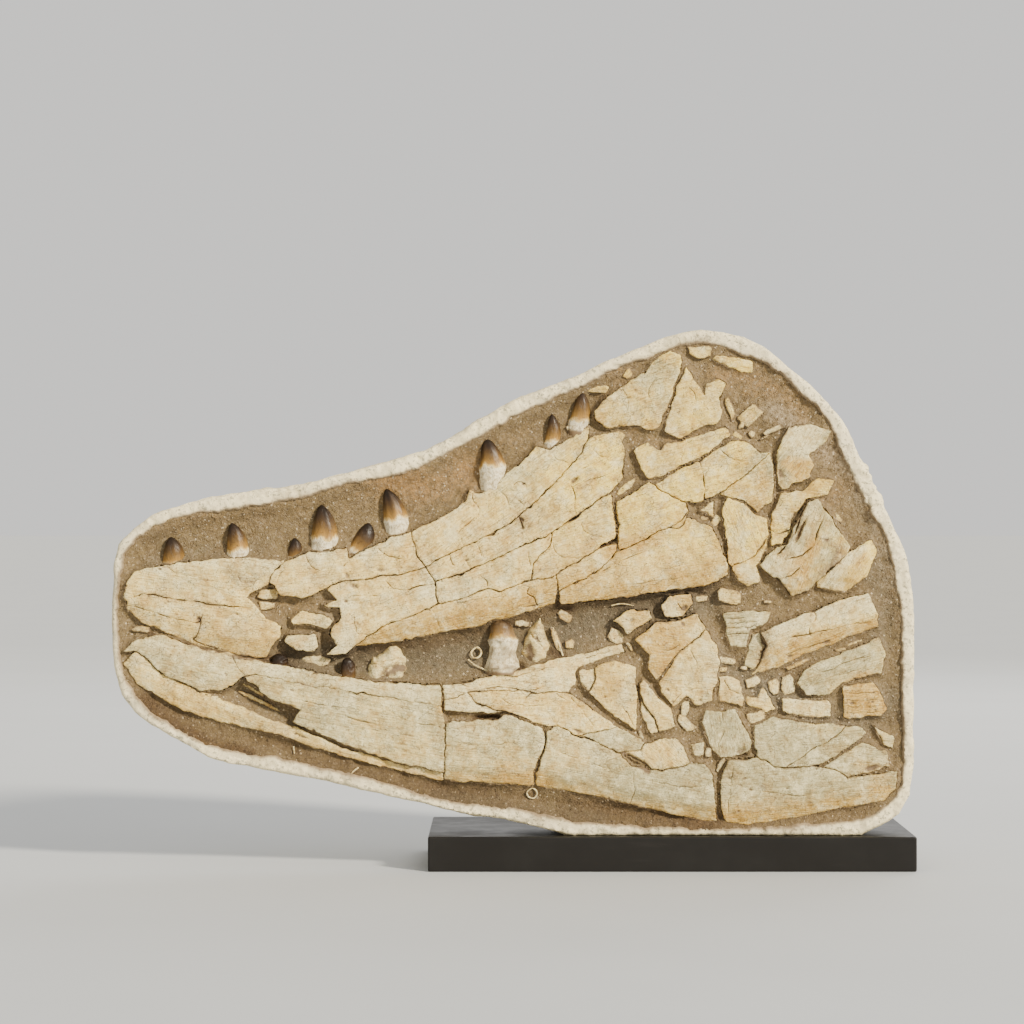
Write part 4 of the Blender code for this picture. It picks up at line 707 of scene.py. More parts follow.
def to_line(x, y, line, closed=False):
    """The distance of each place to a line, and the share along it of the nearest place."""
    line = np.asarray(line, float)
    ends = np.roll(line, -1, axis=0) if closed else line[1:]
    lengths = np.linalg.norm(ends - line[: len(ends)], axis=1)
    reached = np.concatenate(((0.0,), np.cumsum(lengths)))
    nearest = np.full(np.shape(x), np.inf)
    share = np.zeros(np.shape(x))
    for k, (a, b) in enumerate(zip(line, ends)):
        along = b - a
        length = max(lengths[k], 1e-9)
        t = np.clip(((x - a[0]) * along[0] + (y - a[1]) * along[1]) / length ** 2, 0.0, 1.0)
        gap = np.hypot(x - a[0] - along[0] * t, y - a[1] - along[1] * t)
        closer = gap < nearest
        nearest = np.where(closer, gap, nearest)
        share = np.where(closer, (reached[k] + t * length) / reached[-1], share)
    return nearest, share


def inside(x, y, outline):
    """Which places lie inside an outline."""
    within = np.zeros(np.shape(x), bool)
    for (x0, y0), (x1, y1) in zip(outline, np.roll(outline, -1, axis=0)):
        if y0 != y1:
            crosses = ((y0 > y) != (y1 > y)) & (x < x0 + (y - y0) / (y1 - y0) * (x1 - x0))
            within ^= crosses
    return within


def grid_within(outline, pitch, seed, clear=None):
    """A jittered grid of places inside an outline, which can keep clear of it."""
    low, high = outline.min(axis=0), outline.max(axis=0)
    draw = np.random.default_rng(seed)
    x, y = np.meshgrid(np.arange(low[0], high[0], pitch), np.arange(low[1], high[1], pitch * 0.87))
    x = x + (np.arange(x.shape[0]) % 2)[:, None] * pitch / 2
    x = (x + draw.uniform(-0.22, 0.22, x.shape) * pitch).ravel()
    y = (y + draw.uniform(-0.22, 0.22, y.shape) * pitch).ravel()
    grid = np.stack((x, y), axis=1)[inside(x, y, outline)]
    if clear is not None and len(grid):
        grid = grid[to_line(*grid.T, outline, True)[0] > clear]
    return grid


def triangulate(outline, loose, lines=()):
    """Triangles that fill an outline and follow its lines: places and corner numbers."""
    edges = [(i, (i + 1) % len(outline)) for i in range(len(outline))]
    start = len(outline)
    for line in lines:
        edges.extend((i, i + 1) for i in range(start, start + len(line) - 1))
        start += len(line)
    flat = [Vector(place) for place in np.concatenate((outline, *lines, loose))]
    verts, _, faces, *_ = geometry.delaunay_2d_cdt(flat, edges, [], 1, 1e-4)
    places = np.array([tuple(vert) for vert in verts])
    faces = np.array([face for face in faces if len(face) == 3])
    faces = faces[inside(*places[faces].mean(axis=1).T, outline)]
    (ax, ay), (bx, by), (cx, cy) = (places[faces[:, k]].T for k in range(3))
    flipped = (bx - ax) * (cy - ay) - (by - ay) * (cx - ax) < 0
    faces[flipped] = faces[flipped][:, ::-1]
    return places, faces


def rim_edges(faces):
    """The edges that only one triangle has, each in its triangle's direction."""
    pairs = np.concatenate((faces[:, [0, 1]], faces[:, [1, 2]], faces[:, [2, 0]]))
    keys = np.sort(pairs, axis=1)
    _, index, counts = np.unique(keys, axis=0, return_index=True, return_counts=True)
    return pairs[index[counts == 1]]


def loops_of(pairs):
    """Pairs of neighbours, each in its own direction, joined up into loops."""
    following = dict(pairs)
    loops = []
    while following:
        here = next(iter(following))
        loop = []
        while here in following:
            loop.append(here)
            here = following.pop(here)
        loops.append(loop)
    return loops


def ring_faces(rings, sides, closed=False):
    """The faces of a tube of rings, with lids on its ends where it isn't closed."""
    faces = []
    for i in range(rings if closed else rings - 1):
        a, b = i * sides, (i + 1) % rings * sides
        faces.extend((a + k, a + (k + 1) % sides, b + (k + 1) % sides, b + k) for k in range(sides))
    if not closed:
        faces.append(tuple(reversed(range(sides))))
        faces.append(tuple(range((rings - 1) * sides, rings * sides)))
    return faces


def outward(verts, faces):
    """The faces of a closed shape, all turned outwards."""
    total = 0.0
    for face in faces:
        corners = verts[list(face)]
        for k in range(1, len(face) - 1):
            total += float(np.dot(corners[0], np.cross(corners[k], corners[k + 1])))
    return faces if total > 0 else [tuple(reversed(face)) for face in faces]


# ---------------------------------------------------------------- meshes


def make_piece(name, places, faces, material, values):
    """A finished piece of the visual model that rides on the block."""
    mesh = bpy.data.meshes.new(name)
    mesh.from_pydata(np.asarray(places).tolist(), [], [list(map(int, face)) for face in faces])
    for key, data in values.items():
        data = np.asarray(data, np.float32)
        kind, field = ("FLOAT_VECTOR", "vector") if data.ndim == 2 else ("FLOAT", "value")
        mesh.attributes.new(key, kind, "POINT").data.foreach_set(field, data.ravel())
    mesh.validate()
    mesh.shade_smooth()
    mesh.set_sharp_from_angle(angle=SHARP_EDGE)
    mesh.materials.append(material)
    piece = bpy.data.objects.new(name, mesh)
    bpy.context.scene.collection.objects.link(piece)
    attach(piece, "root")
    return piece


def raised(places, faces, height, back, wall_rows=2):
    """A closed slab: its front at a height of each place, its walls straight down to a back.

    The last thing given back is the front place that each corner of the slab belongs to.
    """
    edges = rim_edges(faces)
    rim = np.unique(edges)
    verts, rows = [to_model(*places.T, height)], [edges]
    for row in range(1, wall_rows + 1):
        depth = height[rim] + (back - height[rim]) * (row / wall_rows) ** 2
        verts.append(to_model(*places[rim].T, depth))
        rows.append(len(places) + (row - 1) * len(rim) + np.searchsorted(rim, edges))
    polygons = [tuple(face) for face in faces]
    for upper, lower in zip(rows, rows[1:]):
        polygons.extend((b, a, c, d) for (a, b), (c, d) in zip(upper, lower))
    polygons.extend(tuple(reversed(loop)) for loop in loops_of(rows[-1].tolist()) if len(loop) > 2)
    source = np.concatenate((np.arange(len(places)), np.tile(rim, wall_rows)))
    return np.concatenate(verts), polygons, source


# ---------------------------------------------------------------- bone plates


@functools.lru_cache(maxsize=None)
def solid_outline(node):
    """The outline of a bone on the survey grid, read at the flat back of its solid."""
    mesh = frame["nodes"][node].data
    mesh.calc_loop_triangles()
    back = FACE_Y - BONE_BACK * MM
    edges = set()
    for triangle in mesh.loop_triangles:
        corners = [mesh.vertices[i].co for i in triangle.vertices]
        if max(abs(corner.y - back) for corner in corners) < 1e-5:
            keys = [(round(corner.x, 5), round(corner.z, 5)) for corner in corners]
            edges.update(zip(keys, keys[1:] + keys[:1]))
    return from_model(loops_of(sorted((a, b) for a, b in edges if (b, a) not in edges))[0])


class Surface:
    """The smooth front of a bone, read from its solid."""

    STEP = 3.0
    BLUR = (0.06, 0.12, 0.2, 0.24, 0.2, 0.12, 0.06)

    def __init__(self, node):
        outline = solid_outline(node)
        mesh = frame["nodes"][node].data
        tree = BVHTree.FromPolygons([v.co for v in mesh.vertices],
                                    [p.vertices for p in mesh.polygons])
        self.low = outline.min(axis=0) - 3 * self.STEP
        high = outline.max(axis=0) + 3 * self.STEP
        count = np.ceil((high - self.low) / self.STEP).astype(int) + 1
        x, y = (self.low[k] + np.arange(count[k]) * self.STEP for k in (0, 1))
        x, y = np.meshgrid(x, y, indexing="ij")
        within = inside(x, y, outline)
        height = np.zeros(x.shape)
        starts = to_model(x, y, 60.0)
        for i, j in zip(*np.nonzero(within)):
            hit = tree.ray_cast(Vector(starts[i, j]), Vector((0, 1, 0)))[0]
            if hit is None:
                within[i, j] = False
            else:
                height[i, j] = (FACE_Y - hit.y) / MM
        height, weight = self.blurred(height * within), self.blurred(within.astype(float))
        for _ in range(3):
            empty = weight < 1e-3
            height = np.where(empty, self.blurred(height), height)
            weight = np.where(empty, self.blurred(weight), weight)
        self.height = height / np.maximum(weight, 1e-6)

    def blurred(self, values):
        for axis in (0, 1):
            values = sum(share * np.roll(values, k - len(self.BLUR) // 2, axis=axis)
                         for k, share in enumerate(self.BLUR))
        return values

    def __call__(self, x, y):
        h = self.height
        u, v = (np.clip((place - self.low[k]) / self.STEP, 0, h.shape[k] - 1.001)
                for k, place in enumerate((x, y)))
        i, j = u.astype(int), v.astype(int)
        s, t = u - i, v - j
        return ((h[i, j] * (1 - s) + h[i + 1, j] * s) * (1 - t)
                + (h[i, j + 1] * (1 - s) + h[i + 1, j + 1] * s) * t)


@functools.lru_cache(maxsize=None)
def solid_surface(node):
    """The front of a bone's solid, read once."""
    return Surface(node)


@functools.lru_cache(maxsize=None)
def broken_outline(node, step):
    """A bone's outline with worn corners; neighbours wander together along a shared crack."""
    line = divided(solid_outline(node), step, True)
    reach = int(round(1.8 / step))
    worn = sum(np.roll(line, k, axis=0) for k in range(-reach, reach + 1)) / (2 * reach + 1)
    moves = [sum(amount * lumps(*worn.T, size, seed + k)
                 for k, (amount, size) in enumerate(((1.0, 14), (0.8, 6.0), (0.45, 2.6))))
             for seed in (51, 54)]
    return worn + np.stack(moves, axis=1)


def painted(x, y, slot, seed):
    """How ochre, grey, white, soiled and warm each place of a bone is; the warmth grows towards the
    upper right as partly painted light.
    """
    values = {key: np.zeros(len(x)) for key in TONES}
    # Partly painted light: bone turns warmer towards the upper right, where more light falls
    values["warm_and_lit"] += smooth((590 - y + 0.2 * (x - 600)) / 110) * smooth((x - 380) / 200)
    if slot in SLOT_TONES:
        key, strength = SLOT_TONES[slot]
        values[key] += strength
    warp_x = x + 3.0 * rock(x, y, 11, seed)
    warp_y = y + 3.0 * rock(x, y, 11, seed + 9)
    low, high = (x.min(), y.min()), (x.max(), y.max())
    for key, strength, reach, line in STAINS:
        points = np.asarray(line, float)
        nearest, furthest = points.min(axis=0) - 2.2 * reach, points.max(axis=0) + 2.2 * reach
        if not ((nearest > high).any() or (furthest < low).any()):
            gap, _ = to_line(warp_x, warp_y, points)
            values[key] += strength * np.exp(-(gap / reach) ** 2)
    mottle = 0.16 * rock(x, y, 22, seed + 3) * values["ochre"]
    values["ochre"] += np.clip(0.10 * rock(x, y, 34, seed + 5) + mottle, -0.1, 0.3)
    values["grey"] += np.clip(0.16 * rock(x, y, 28, seed + 7), -0.1, 0.3)
    return {key: np.clip(value, 0.0, 1.0) for key, value in values.items()}


def bone_outline(node, sizes, seed):
    """The ragged outline of one plate."""
    outline = broken_outline(node, sizes.outline_step / MM)
    bite = sizes.crack_gap / 2 / MM - 0.2 + 0.2 * rock(*outline.T, 6.0, seed)
    bite += 2.6 * np.clip(lumps(*outline.T, 9, seed + 5) - 0.42, 0, 1)
    bite += 0.9 * np.clip(lumps(*outline.T, 3, seed + 6) - 0.3, 0, 1)
    bite = np.clip(bite, -0.2, 1.9) - GROWTH.get(node, 0.0)
    outline = outline + inwards(outline) * bite[:, None]
    if node in OVERHANGS:
        line, move = OVERHANGS[node]
        gap, share = to_line(*outline.T, line)
        lean = smooth(9 * share) * smooth(9 * (1 - share)) * smooth(2.0 - gap / 3.0)
        outline = outline + lean[:, None] * np.array(move)
    return outline


def bone_mesh(node, outline, sizes, seed):
    """The places and triangles of one plate's face, and the grooves of its cracks."""
    lines, sides, grooves = [], [], []
    for half_width, depth, points in CRACKS.get(node, ()):
        line = curved(points, 1.1)
        line = line + across(line) * (0.75 * rock(*line.T, 6.0, seed))[:, None]
        grooves.append((line, half_width * 0.75, depth))
        keep = inside(*line.T, outline) & (to_line(*line.T, outline, True)[0] > 0.3)
        for run in np.split(np.arange(len(line)), np.nonzero(~keep)[0]):
            run = run[keep[run]]
            if len(run) > 1:
                lines.append(line[run])
        sides.extend(line + across(line) * side * half_width for side in (-1.0, 1.0))
    grid = grid_within(outline, sizes.bone_step / MM, seed, 1.6)
    for line, half_width, _ in grooves:
        grid = grid[to_line(*grid.T, line)[0] > half_width + 0.4]
    # Loose places, and how far they keep clear of the edge
    loose = [(outline + inwards(outline) * 0.5, 0.3), (outline + inwards(outline) * 1.3, 0.9)]
    loose.extend((points, 0.5) for points in (*sides, grid))
    angles = np.linspace(0, 2 * np.pi, 14, endpoint=False)
    for x, y, long, short, turn, _ in HOLES.get(node, ()):
        for share in (0.5, 1.0):
            u, v = turned(long * share * np.cos(angles), short * share * np.sin(angles),
                          math.radians(turn))
            loose.append((np.stack((x + u, y + v), axis=1), 0.5))
    spread = [points[inside(*points.T, outline) & (to_line(*points.T, outline, True)[0] > clear)]
              for points, clear in loose]
    return *triangulate(outline, np.concatenate(spread), lines), grooves


def bone_relief(node, places, outline, grooves, seed):
    """The height and the soil of each place of one plate."""
    x, y = places.T
    edge, _ = to_line(x, y, outline, True)
    height = solid_surface(node)(x, y)
    height += (1.1 * rock(x, y, 32, seed) + 0.5 * rock(x, y, 9, seed + 2)
               + 0.2 * rock(x, y, 3.2, seed))
    height -= 0.55 * smooth(7.0 * (lumps(x * 0.7 + y * 0.2, y, 17, seed + 6) - 0.18))
    height -= 0.30 * smooth(7.0 * (lumps(x, y * 1.5, 7.5, seed + 7) - 0.42))
    worn = rounded(edge, 1.5 + 1.1 * lumps(x, y, 16, seed + 1))
    height -= (0.9 + 0.4 * lumps(x, y, 11, seed + 4)) * worn * 1.25
    soil = np.clip(0.30 + 0.5 * lumps(x, y, 15, 61), 0.05, 0.7) * np.exp(-(edge / 0.6) ** 2)
    soil += np.clip(0.12 + 0.3 * lumps(x, y, 21, 62), 0, 0.4) * np.exp(-(edge / 3.0) ** 2)
    for line, half_width, depth in grooves:
        gap, share = to_line(x, y, line)
        taper = np.clip(np.minimum(share, 1.0 - share) * 7.0 + 0.25, 0.0, 1.0)
        taper = taper * np.clip(0.75 + 0.9 * lumps(x, y, 9, seed + 12), 0.25, 1.5)
        height -= depth * taper * smooth(1.0 - gap / np.maximum(half_width * taper, 0.05))
        height -= 0.35 * taper * np.exp(-(gap / (half_width * 2.2)) ** 2)
        soil += taper * (0.75 * np.exp(-(gap / (half_width * 0.95)) ** 2)
                         + 0.10 * np.exp(-(gap / 3.0) ** 2))
    for *oval, depth in HOLES.get(node, ()):
        sunk = smooth(1.25 - (in_oval(x, y, *oval) + 0.12 * lumps(x, y, 2.2, seed)))
        height -= depth * sunk
        soil += 0.8 * sunk
    draw = np.random.default_rng(seed)
    pit_count = int(abs(area(outline)) / 2 / 190)
    for spot_x, spot_y in places[draw.integers(0, len(places), pit_count)]:
        radius = draw.uniform(0.7, 1.7)
        sunk = smooth(1.2 - np.hypot(x - spot_x, (y - spot_y) * draw.uniform(1.0, 1.8)) / radius)
        height -= draw.uniform(0.3, 0.9) * sunk
        soil += draw.uniform(0.3, 0.8) * sunk
    return height, soil


def lay_bone(node, number, sizes, material):
    """One plate of fossil bone over its solid: ragged, cracked, pitted and stained."""
    seed = BONE_SEED + number
    outline = bone_outline(node, sizes, seed)
    places, faces, grooves = bone_mesh(node, outline, sizes, seed)
    height, soil = bone_relief(node, places, outline, grooves, seed)
    x, y = places.T
    values = painted(x, y, PAINTED_AS.get(node, FINISH_OF[node]), seed)
    values["soil"] = np.clip(values["soil"] + soil, 0.0, 1.0)
    lie = LIE.get(node, UPPER_LIE if node.startswith(UPPER_NAMES) else LOWER_LIE)
    values["lie"] = np.stack((*turned(x, y, -lie), np.full(len(x), number * 7.0)), axis=1)
    verts, polygons, source = raised(places, faces, height, BONE_BACK)
    values = {key: value[source] for key, value in values.items()}
    values["soil"][len(places):] = 0.55
    piece = make_piece(node + "_fossil", verts, polygons, material, values)
    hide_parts(node)


# ---------------------------------------------------------------- materials

# The way in which a layer darkens the colour under it
DIM = "MULTIPLY"


def shade(red, green, blue):
    """A colour as seen on a screen, as the linear colour that a shader takes."""
    return tuple(c / 12.92 if c <= 0.04045 else ((c + 0.055) / 1.055) ** 2.4
                 for c in (red, green, blue)) + (1.0,)


def add_node(tree, kind, inputs, **settings):
    """A node of a tree with its settings; what goes into it are sockets or plain values."""
    node = tree.nodes.new(kind)
    for key, value in settings.items():
        setattr(node, key, value)
    for key, value in inputs.items():
        if isinstance(value, bpy.types.NodeSocket):
            tree.links.new(value, node.inputs[key])
        else:
            node.inputs[key].default_value = value
    return node


class Paint:
    """Short ways to make and join the nodes of one material."""

    def __init__(self, name):
        self.material = bpy.data.materials.new(name)
        self.material.use_nodes = True
        self.tree = self.material.node_tree
        self.shader = self.tree.nodes["Principled BSDF"]
        self.here = self.node("TexCoord", {}).outputs["Object"]

    def node(self, kind, inputs, **settings):
        return add_node(self.tree, "ShaderNode" + kind, inputs, **settings)

    def attribute(self, name, output="Fac"):
        return self.node("Attribute", {}, attribute_name=name).outputs[output]

    def sum(self, a, b, kind="ADD"):
        return self.node("Math", {0: a, 1: b}, operation=kind).outputs[0]

    def times(self, a, b):
        return self.sum(a, b, "MULTIPLY")

    def spread(self, value, low, high, start=0.0, end=1.0):
        """A value from low to high as one from start to end."""
        return self.node("MapRange", {"Value": value, "From Min": low, "From Max": high,
                                      "To Min": start, "To Max": end},
                         interpolation_type="SMOOTHSTEP").outputs[0]

    def mix(self, share, a, b, blend="MIX"):
        return self.node("Mix", {0: share, 6: a, 7: b}, data_type="RGBA",
                         blend_type=blend).outputs[2]

    def tinted(self, colour, *layers):
        """A colour under layers: what each follows, from and to where, its strength and tone."""
        for value, low, high, strength, tone, *blend in layers:
            colour = self.mix(self.spread(value, low, high, 0.0, strength), colour, tone, *blend)
        return colour

    def stretched(self, where, scale, turn=0.0):
        return self.node("Mapping", {"Vector": where, "Scale": scale,
                                     "Rotation": (0.0, turn, 0.0)}).outputs[0]

    def noise(self, size, detail, rough, where=None):
        return self.node("TexNoise", {
            "Vector": where or self.here, "Scale": 1.0 / (size if where else size * MM),
            "Detail": detail, "Roughness": rough}).outputs[0]

    def streaked(self, where, scale, detail, rough, turn=0.0):
        """Noise that is drawn out along its coordinates."""
        return self.noise(1.0, detail, rough, self.stretched(where, scale, turn))

    def cells(self, size, where=None, edges=False):
        node = self.node("TexVoronoi", {
            "Vector": where or self.here, "Scale": 1.0 / (size if where else size * MM)},
            feature="DISTANCE_TO_EDGE" if edges else "F1")
        return node.outputs["Distance" if edges else "Color"]

    def crazed(self, where, scale, amount, size):
        """The distance to the crooked edges of cells that are drawn out along coordinates."""
        return self.cells(1.0, self.bent(self.stretched(where, scale), amount, size), True)

    def strips(self, length, width, turn):
        """Overlapping strips of bandage on the block's flat sides: their tones and their edges."""
        where = self.stretched(self.bent(self.here, 0.012, 0.04), (1, 1, 1), turn)
        parts = self.node("SeparateXYZ", {0: where}).outputs
        flat = self.node("CombineXYZ", {0: parts[0], 1: parts[2]}).outputs[0]
        return self.node("TexBrick", {
            "Vector": flat, "Scale": 1.0, "Mortar Size": 0.0030, "Mortar Smooth": 1.0,
            "Brick Width": length, "Row Height": width, "Color1": (0, 0, 0, 1),
            "Color2": (1, 1, 1, 1), "Mortar": (0.5, 0.5, 0.5, 1)}, offset=0.37).outputs

    def bent(self, where, amount, size):
        """Coordinates that wander a little, so that cells have crooked edges."""
        noise = self.node("TexNoise", {"Vector": where, "Scale": 1.0 / size, "Detail": 2.0})
        return self.node("VectorMath", {0: noise.outputs["Color"], 1: (amount,) * 3, 2: where},
                         operation="MULTIPLY_ADD").outputs[0]

    def ramp(self, value, stops):
        node = self.node("ValToRGB", {0: value})
        elements = node.color_ramp.elements
        while len(elements) < len(stops):
            elements.new(0.5)
        for element, (position, colour) in zip(elements, stops):
            element.position = position
            element.color = colour
        return node.outputs[0]

    def finish(self, colour, roughness, height, distance, strength=1.0):
        bump = self.node("Bump", {"Strength": strength, "Distance": distance * MM,
                                  "Height": height}).outputs[0]
        for key, value in (("Base Color", colour), ("Roughness", roughness), ("Normal", bump)):
            if isinstance(value, bpy.types.NodeSocket):
                self.tree.links.new(value, self.shader.inputs[key])
            else:
                self.shader.inputs[key].default_value = value
        return self.material


def bone_material(sizes):
    """Fossil bone: cream, grey, ochre and white by its stains, some painted light or shade;
    striated, cracked and pitted.
    """
    paint = Paint("fossil_bone")
    lie = paint.attribute("lie", "Vector")
    drift = paint.noise(55, 3, 0.6)
    patches = paint.noise(26, 4, 0.6)
    clouds = paint.noise(15, 4, 0.62)
    mottle = paint.noise(7, 5, 0.62)
    stipple = paint.noise(2.6, 5, 0.72)
    flecks = paint.noise(1.3, 2, 0.6)
    streaks = paint.streaked(lie, (0.045, 0.75, 0.2), 4, 0.6)
    grain = paint.streaked(lie, (0.10, 1.5, 0.4), 3, 0.6)
    dashes = paint.streaked(lie, (0.22, 0.75, 0.4), 3, 0.65)
    wander = paint.sum(paint.times(paint.sum(patches, mottle), 0.55), -0.55)

    def stain(name, gain=1.0, streaky=0.0):
        """How strong a stain is, with ragged and streaky edges."""
        amount = paint.sum(paint.attribute(name), paint.times(wander, gain))
        amount = paint.sum(amount, paint.times(paint.sum(streaks, -0.5), streaky))
        return paint.spread(amount, 0.08, 0.85)

    # Warm bone high up on the right, partly painted light
    colour = paint.mix(stain("warm_and_lit"), tuple(sizes.bone_cream), tuple(sizes.bone_warm_and_lit))
    colour = paint.tinted(
        colour, (drift, 0.50, 0.66, 0.65, shade(0.88, 0.79, 0.52)),
        (patches, 0.48, 0.66, 0.6, shade(0.84, 0.78, 0.60)))
    ochre = paint.mix(paint.spread(mottle, 0.35, 0.7), tuple(sizes.bone_ochre),
                      shade(0.79, 0.635, 0.30))
    for name, gain, streaky, tone in (("grey", 1.0, 0.5, tuple(sizes.bone_grey)),
                                      ("ochre", 1.2, -1.1, ochre),
                                      ("white", 1.0, 0.6, tuple(sizes.bone_white))):
        colour = paint.mix(stain(name, gain, streaky), colour, tone)
    colour = paint.tinted(
        colour, (streaks, 0.47, 0.66, 0.75, (0.66, 0.57, 0.43, 1), DIM),
        (grain, 0.50, 0.66, 0.5, (0.62, 0.54, 0.42, 1), DIM),
        (grain, 0.48, 0.36, 0.3, shade(0.99, 0.94, 0.74)),
        (mottle, 0.58, 0.34, 0.65, (0.64, 0.53, 0.36, 1), DIM),
        (clouds, 0.50, 0.66, 0.75, (0.80, 0.69, 0.50, 1), DIM),
        (clouds, 0.48, 0.32, 0.5, shade(0.98, 0.93, 0.72)),
        (stipple, 0.52, 0.68, 0.75, (0.60, 0.51, 0.38, 1), DIM),
        (stipple, 0.46, 0.34, 0.35, shade(0.98, 0.93, 0.72)))
    dark = paint.times(paint.spread(flecks, 0.57, 0.68), paint.spread(mottle, 0.40, 0.58))
    dark_dashes = paint.times(paint.spread(dashes, 0.64, 0.74), paint.spread(drift, 0.58, 0.42))
    spots = paint.times(paint.spread(paint.noise(2.6, 2, 0.55), 0.62, 0.70),
                        paint.spread(clouds, 0.42, 0.60))
    dark = paint.sum(paint.sum(dark, dark_dashes, "MAXIMUM"), paint.times(spots, 0.7), "MAXIMUM")
    colour = paint.mix(paint.times(dark, 0.78), colour, shade(0.43, 0.37, 0.27))
    plates = paint.crazed(lie, (0.06, 0.13, 0.1), 0.9, 1.4)
    fine = paint.crazed(lie, (0.16, 0.34, 0.3), 0.8, 1.2)
    hairs = paint.times(paint.spread(plates, 0.022, 0.0), paint.spread(patches, 0.44, 0.56))
    fine_hairs = paint.times(paint.spread(fine, 0.035, 0.0), paint.spread(mottle, 0.50, 0.62))
    lines = paint.sum(hairs, paint.times(fine_hairs, 0.7), "MAXIMUM")
    colour = paint.mix(paint.times(lines, 0.6), colour, shade(0.46, 0.39, 0.29))
    soil = paint.sum(paint.attribute("soil"), paint.times(paint.sum(flecks, -0.5), 0.9))
    colour = paint.mix(paint.spread(soil, 0.12, 0.95), colour, tuple(sizes.soil))
    height = paint.sum(paint.times(paint.sum(streaks, grain), 0.8), paint.times(mottle, 1.2))
    height = paint.sum(height, paint.times(stipple, 0.7))
    height = paint.sum(height, paint.times(paint.sum(lines, dark), -0.45))
    height = paint.sum(height, paint.times(paint.noise(0.7, 3, 0.7), 0.22))
    return paint.finish(colour, paint.spread(mottle, 0.3, 0.7, 0.44, 0.66), height, 1.0, 0.9)


def enamel_material(sizes):
    """Fossil teeth: near-black tips that fade through amber to a cream root."""
    paint = Paint("fossil_enamel")
    lie = paint.attribute("lie", "Vector")
    streaks = paint.streaked(lie, (0.09, 0.9, 0.5), 4, 0.62)
    blotches = paint.noise(4.5, 4, 0.6)
    crown = paint.sum(paint.attribute("crown"), paint.times(paint.sum(streaks, -0.5), 0.20))
    crown = paint.sum(crown, paint.times(paint.sum(blotches, -0.5), 0.30))
    place_on = paint.sum(paint.times(crown, 0.5), 0.5)
    colour = paint.ramp(place_on, (
        (0.30, shade(0.95, 0.90, 0.74)), (0.485, shade(0.98, 0.94, 0.80)),
        (0.505, shade(0.90, 0.79, 0.53)), (0.56, tuple(sizes.enamel_amber)),
        (0.67, shade(0.44, 0.335, 0.175)), (0.77, shade(0.30, 0.225, 0.13)),
        (0.87, shade(0.19, 0.14, 0.095)), (0.96, tuple(sizes.enamel_dark))))
    root = paint.spread(place_on, 0.50, 0.46)
    spoiled = paint.times(root, paint.spread(paint.noise(3.0, 5, 0.7), 0.45, 0.62))
    colour = paint.mix(paint.times(spoiled, 0.75), colour, shade(0.70, 0.61, 0.43))
    lines = paint.spread(paint.crazed(lie, (0.10, 0.42, 0.2), 0.7, 1.3), 0.05, 0.0)
    colour = paint.mix(paint.times(lines, 0.55), colour, shade(0.20, 0.15, 0.10))
    soil = paint.sum(paint.attribute("soil"), paint.times(blotches, 0.3))
    colour = paint.tinted(
        colour, (blotches, 0.68, 0.40, 0.35, (0.55, 0.45, 0.34, 1), DIM),
        (soil, 0.35, 1.0, 1.0, tuple(sizes.soil)))
    paint.shader.inputs["Specular IOR Level"].default_value = 0.22
    height = paint.sum(paint.times(streaks, 0.7), paint.times(lines, -0.5))
    return paint.finish(colour, paint.spread(place_on, 0.47, 0.56, 0.6, 0.36), height, 0.6, 0.5)


def matrix_material(sizes):
    """Sandy matrix: brown, grey and rusty by its stains, with grains and specks, and darkened by
    painted shade.
    """
    paint = Paint("sandy_matrix")
    patches = paint.noise(30, 4, 0.6)
    clods = paint.noise(5, 5, 0.65)
    grain = paint.node("SeparateColor", {0: paint.cells(1.5)}).outputs
    colour = paint.mix(paint.spread(patches, 0.35, 0.65), tuple(sizes.matrix_brown),
                       shade(0.50, 0.42, 0.28))
    for name, stain in (("grey", tuple(sizes.matrix_grey)), ("rust", tuple(sizes.matrix_rust)),
                        ("pale", shade(0.72, 0.65, 0.53))):
        amount = paint.sum(paint.attribute(name), paint.times(paint.sum(clods, -0.5), 0.9))
        colour = paint.mix(paint.spread(amount, 0.12, 0.85), colour, stain)
    colour = paint.tinted(
        colour, (clods, 0.60, 0.34, 0.55, (0.60, 0.54, 0.46, 1), DIM),
        (grain[0], 0.55, 1.0, 0.28, shade(0.72, 0.64, 0.52)),
        (grain[1], 0.76, 0.94, 0.42, shade(0.34, 0.28, 0.22)),
        (grain[2], 0.982, 0.995, 1.0, shade(0.76, 0.69, 0.56)),
        # Painted shade: the matrix darker where the shade attribute says
        (paint.attribute("shade"), 0.05, 1.0, 0.92, (0.36, 0.29, 0.22, 1), DIM))
    height = paint.sum(paint.times(clods, 1.6), paint.times(paint.noise(0.9, 4, 0.7), 0.8))
    height = paint.sum(height, paint.times(paint.cells(1.9, None, True), 1.1))
    return paint.finish(colour, paint.spread(clods, 0.3, 0.7, 0.82, 0.97), height, 1.1)


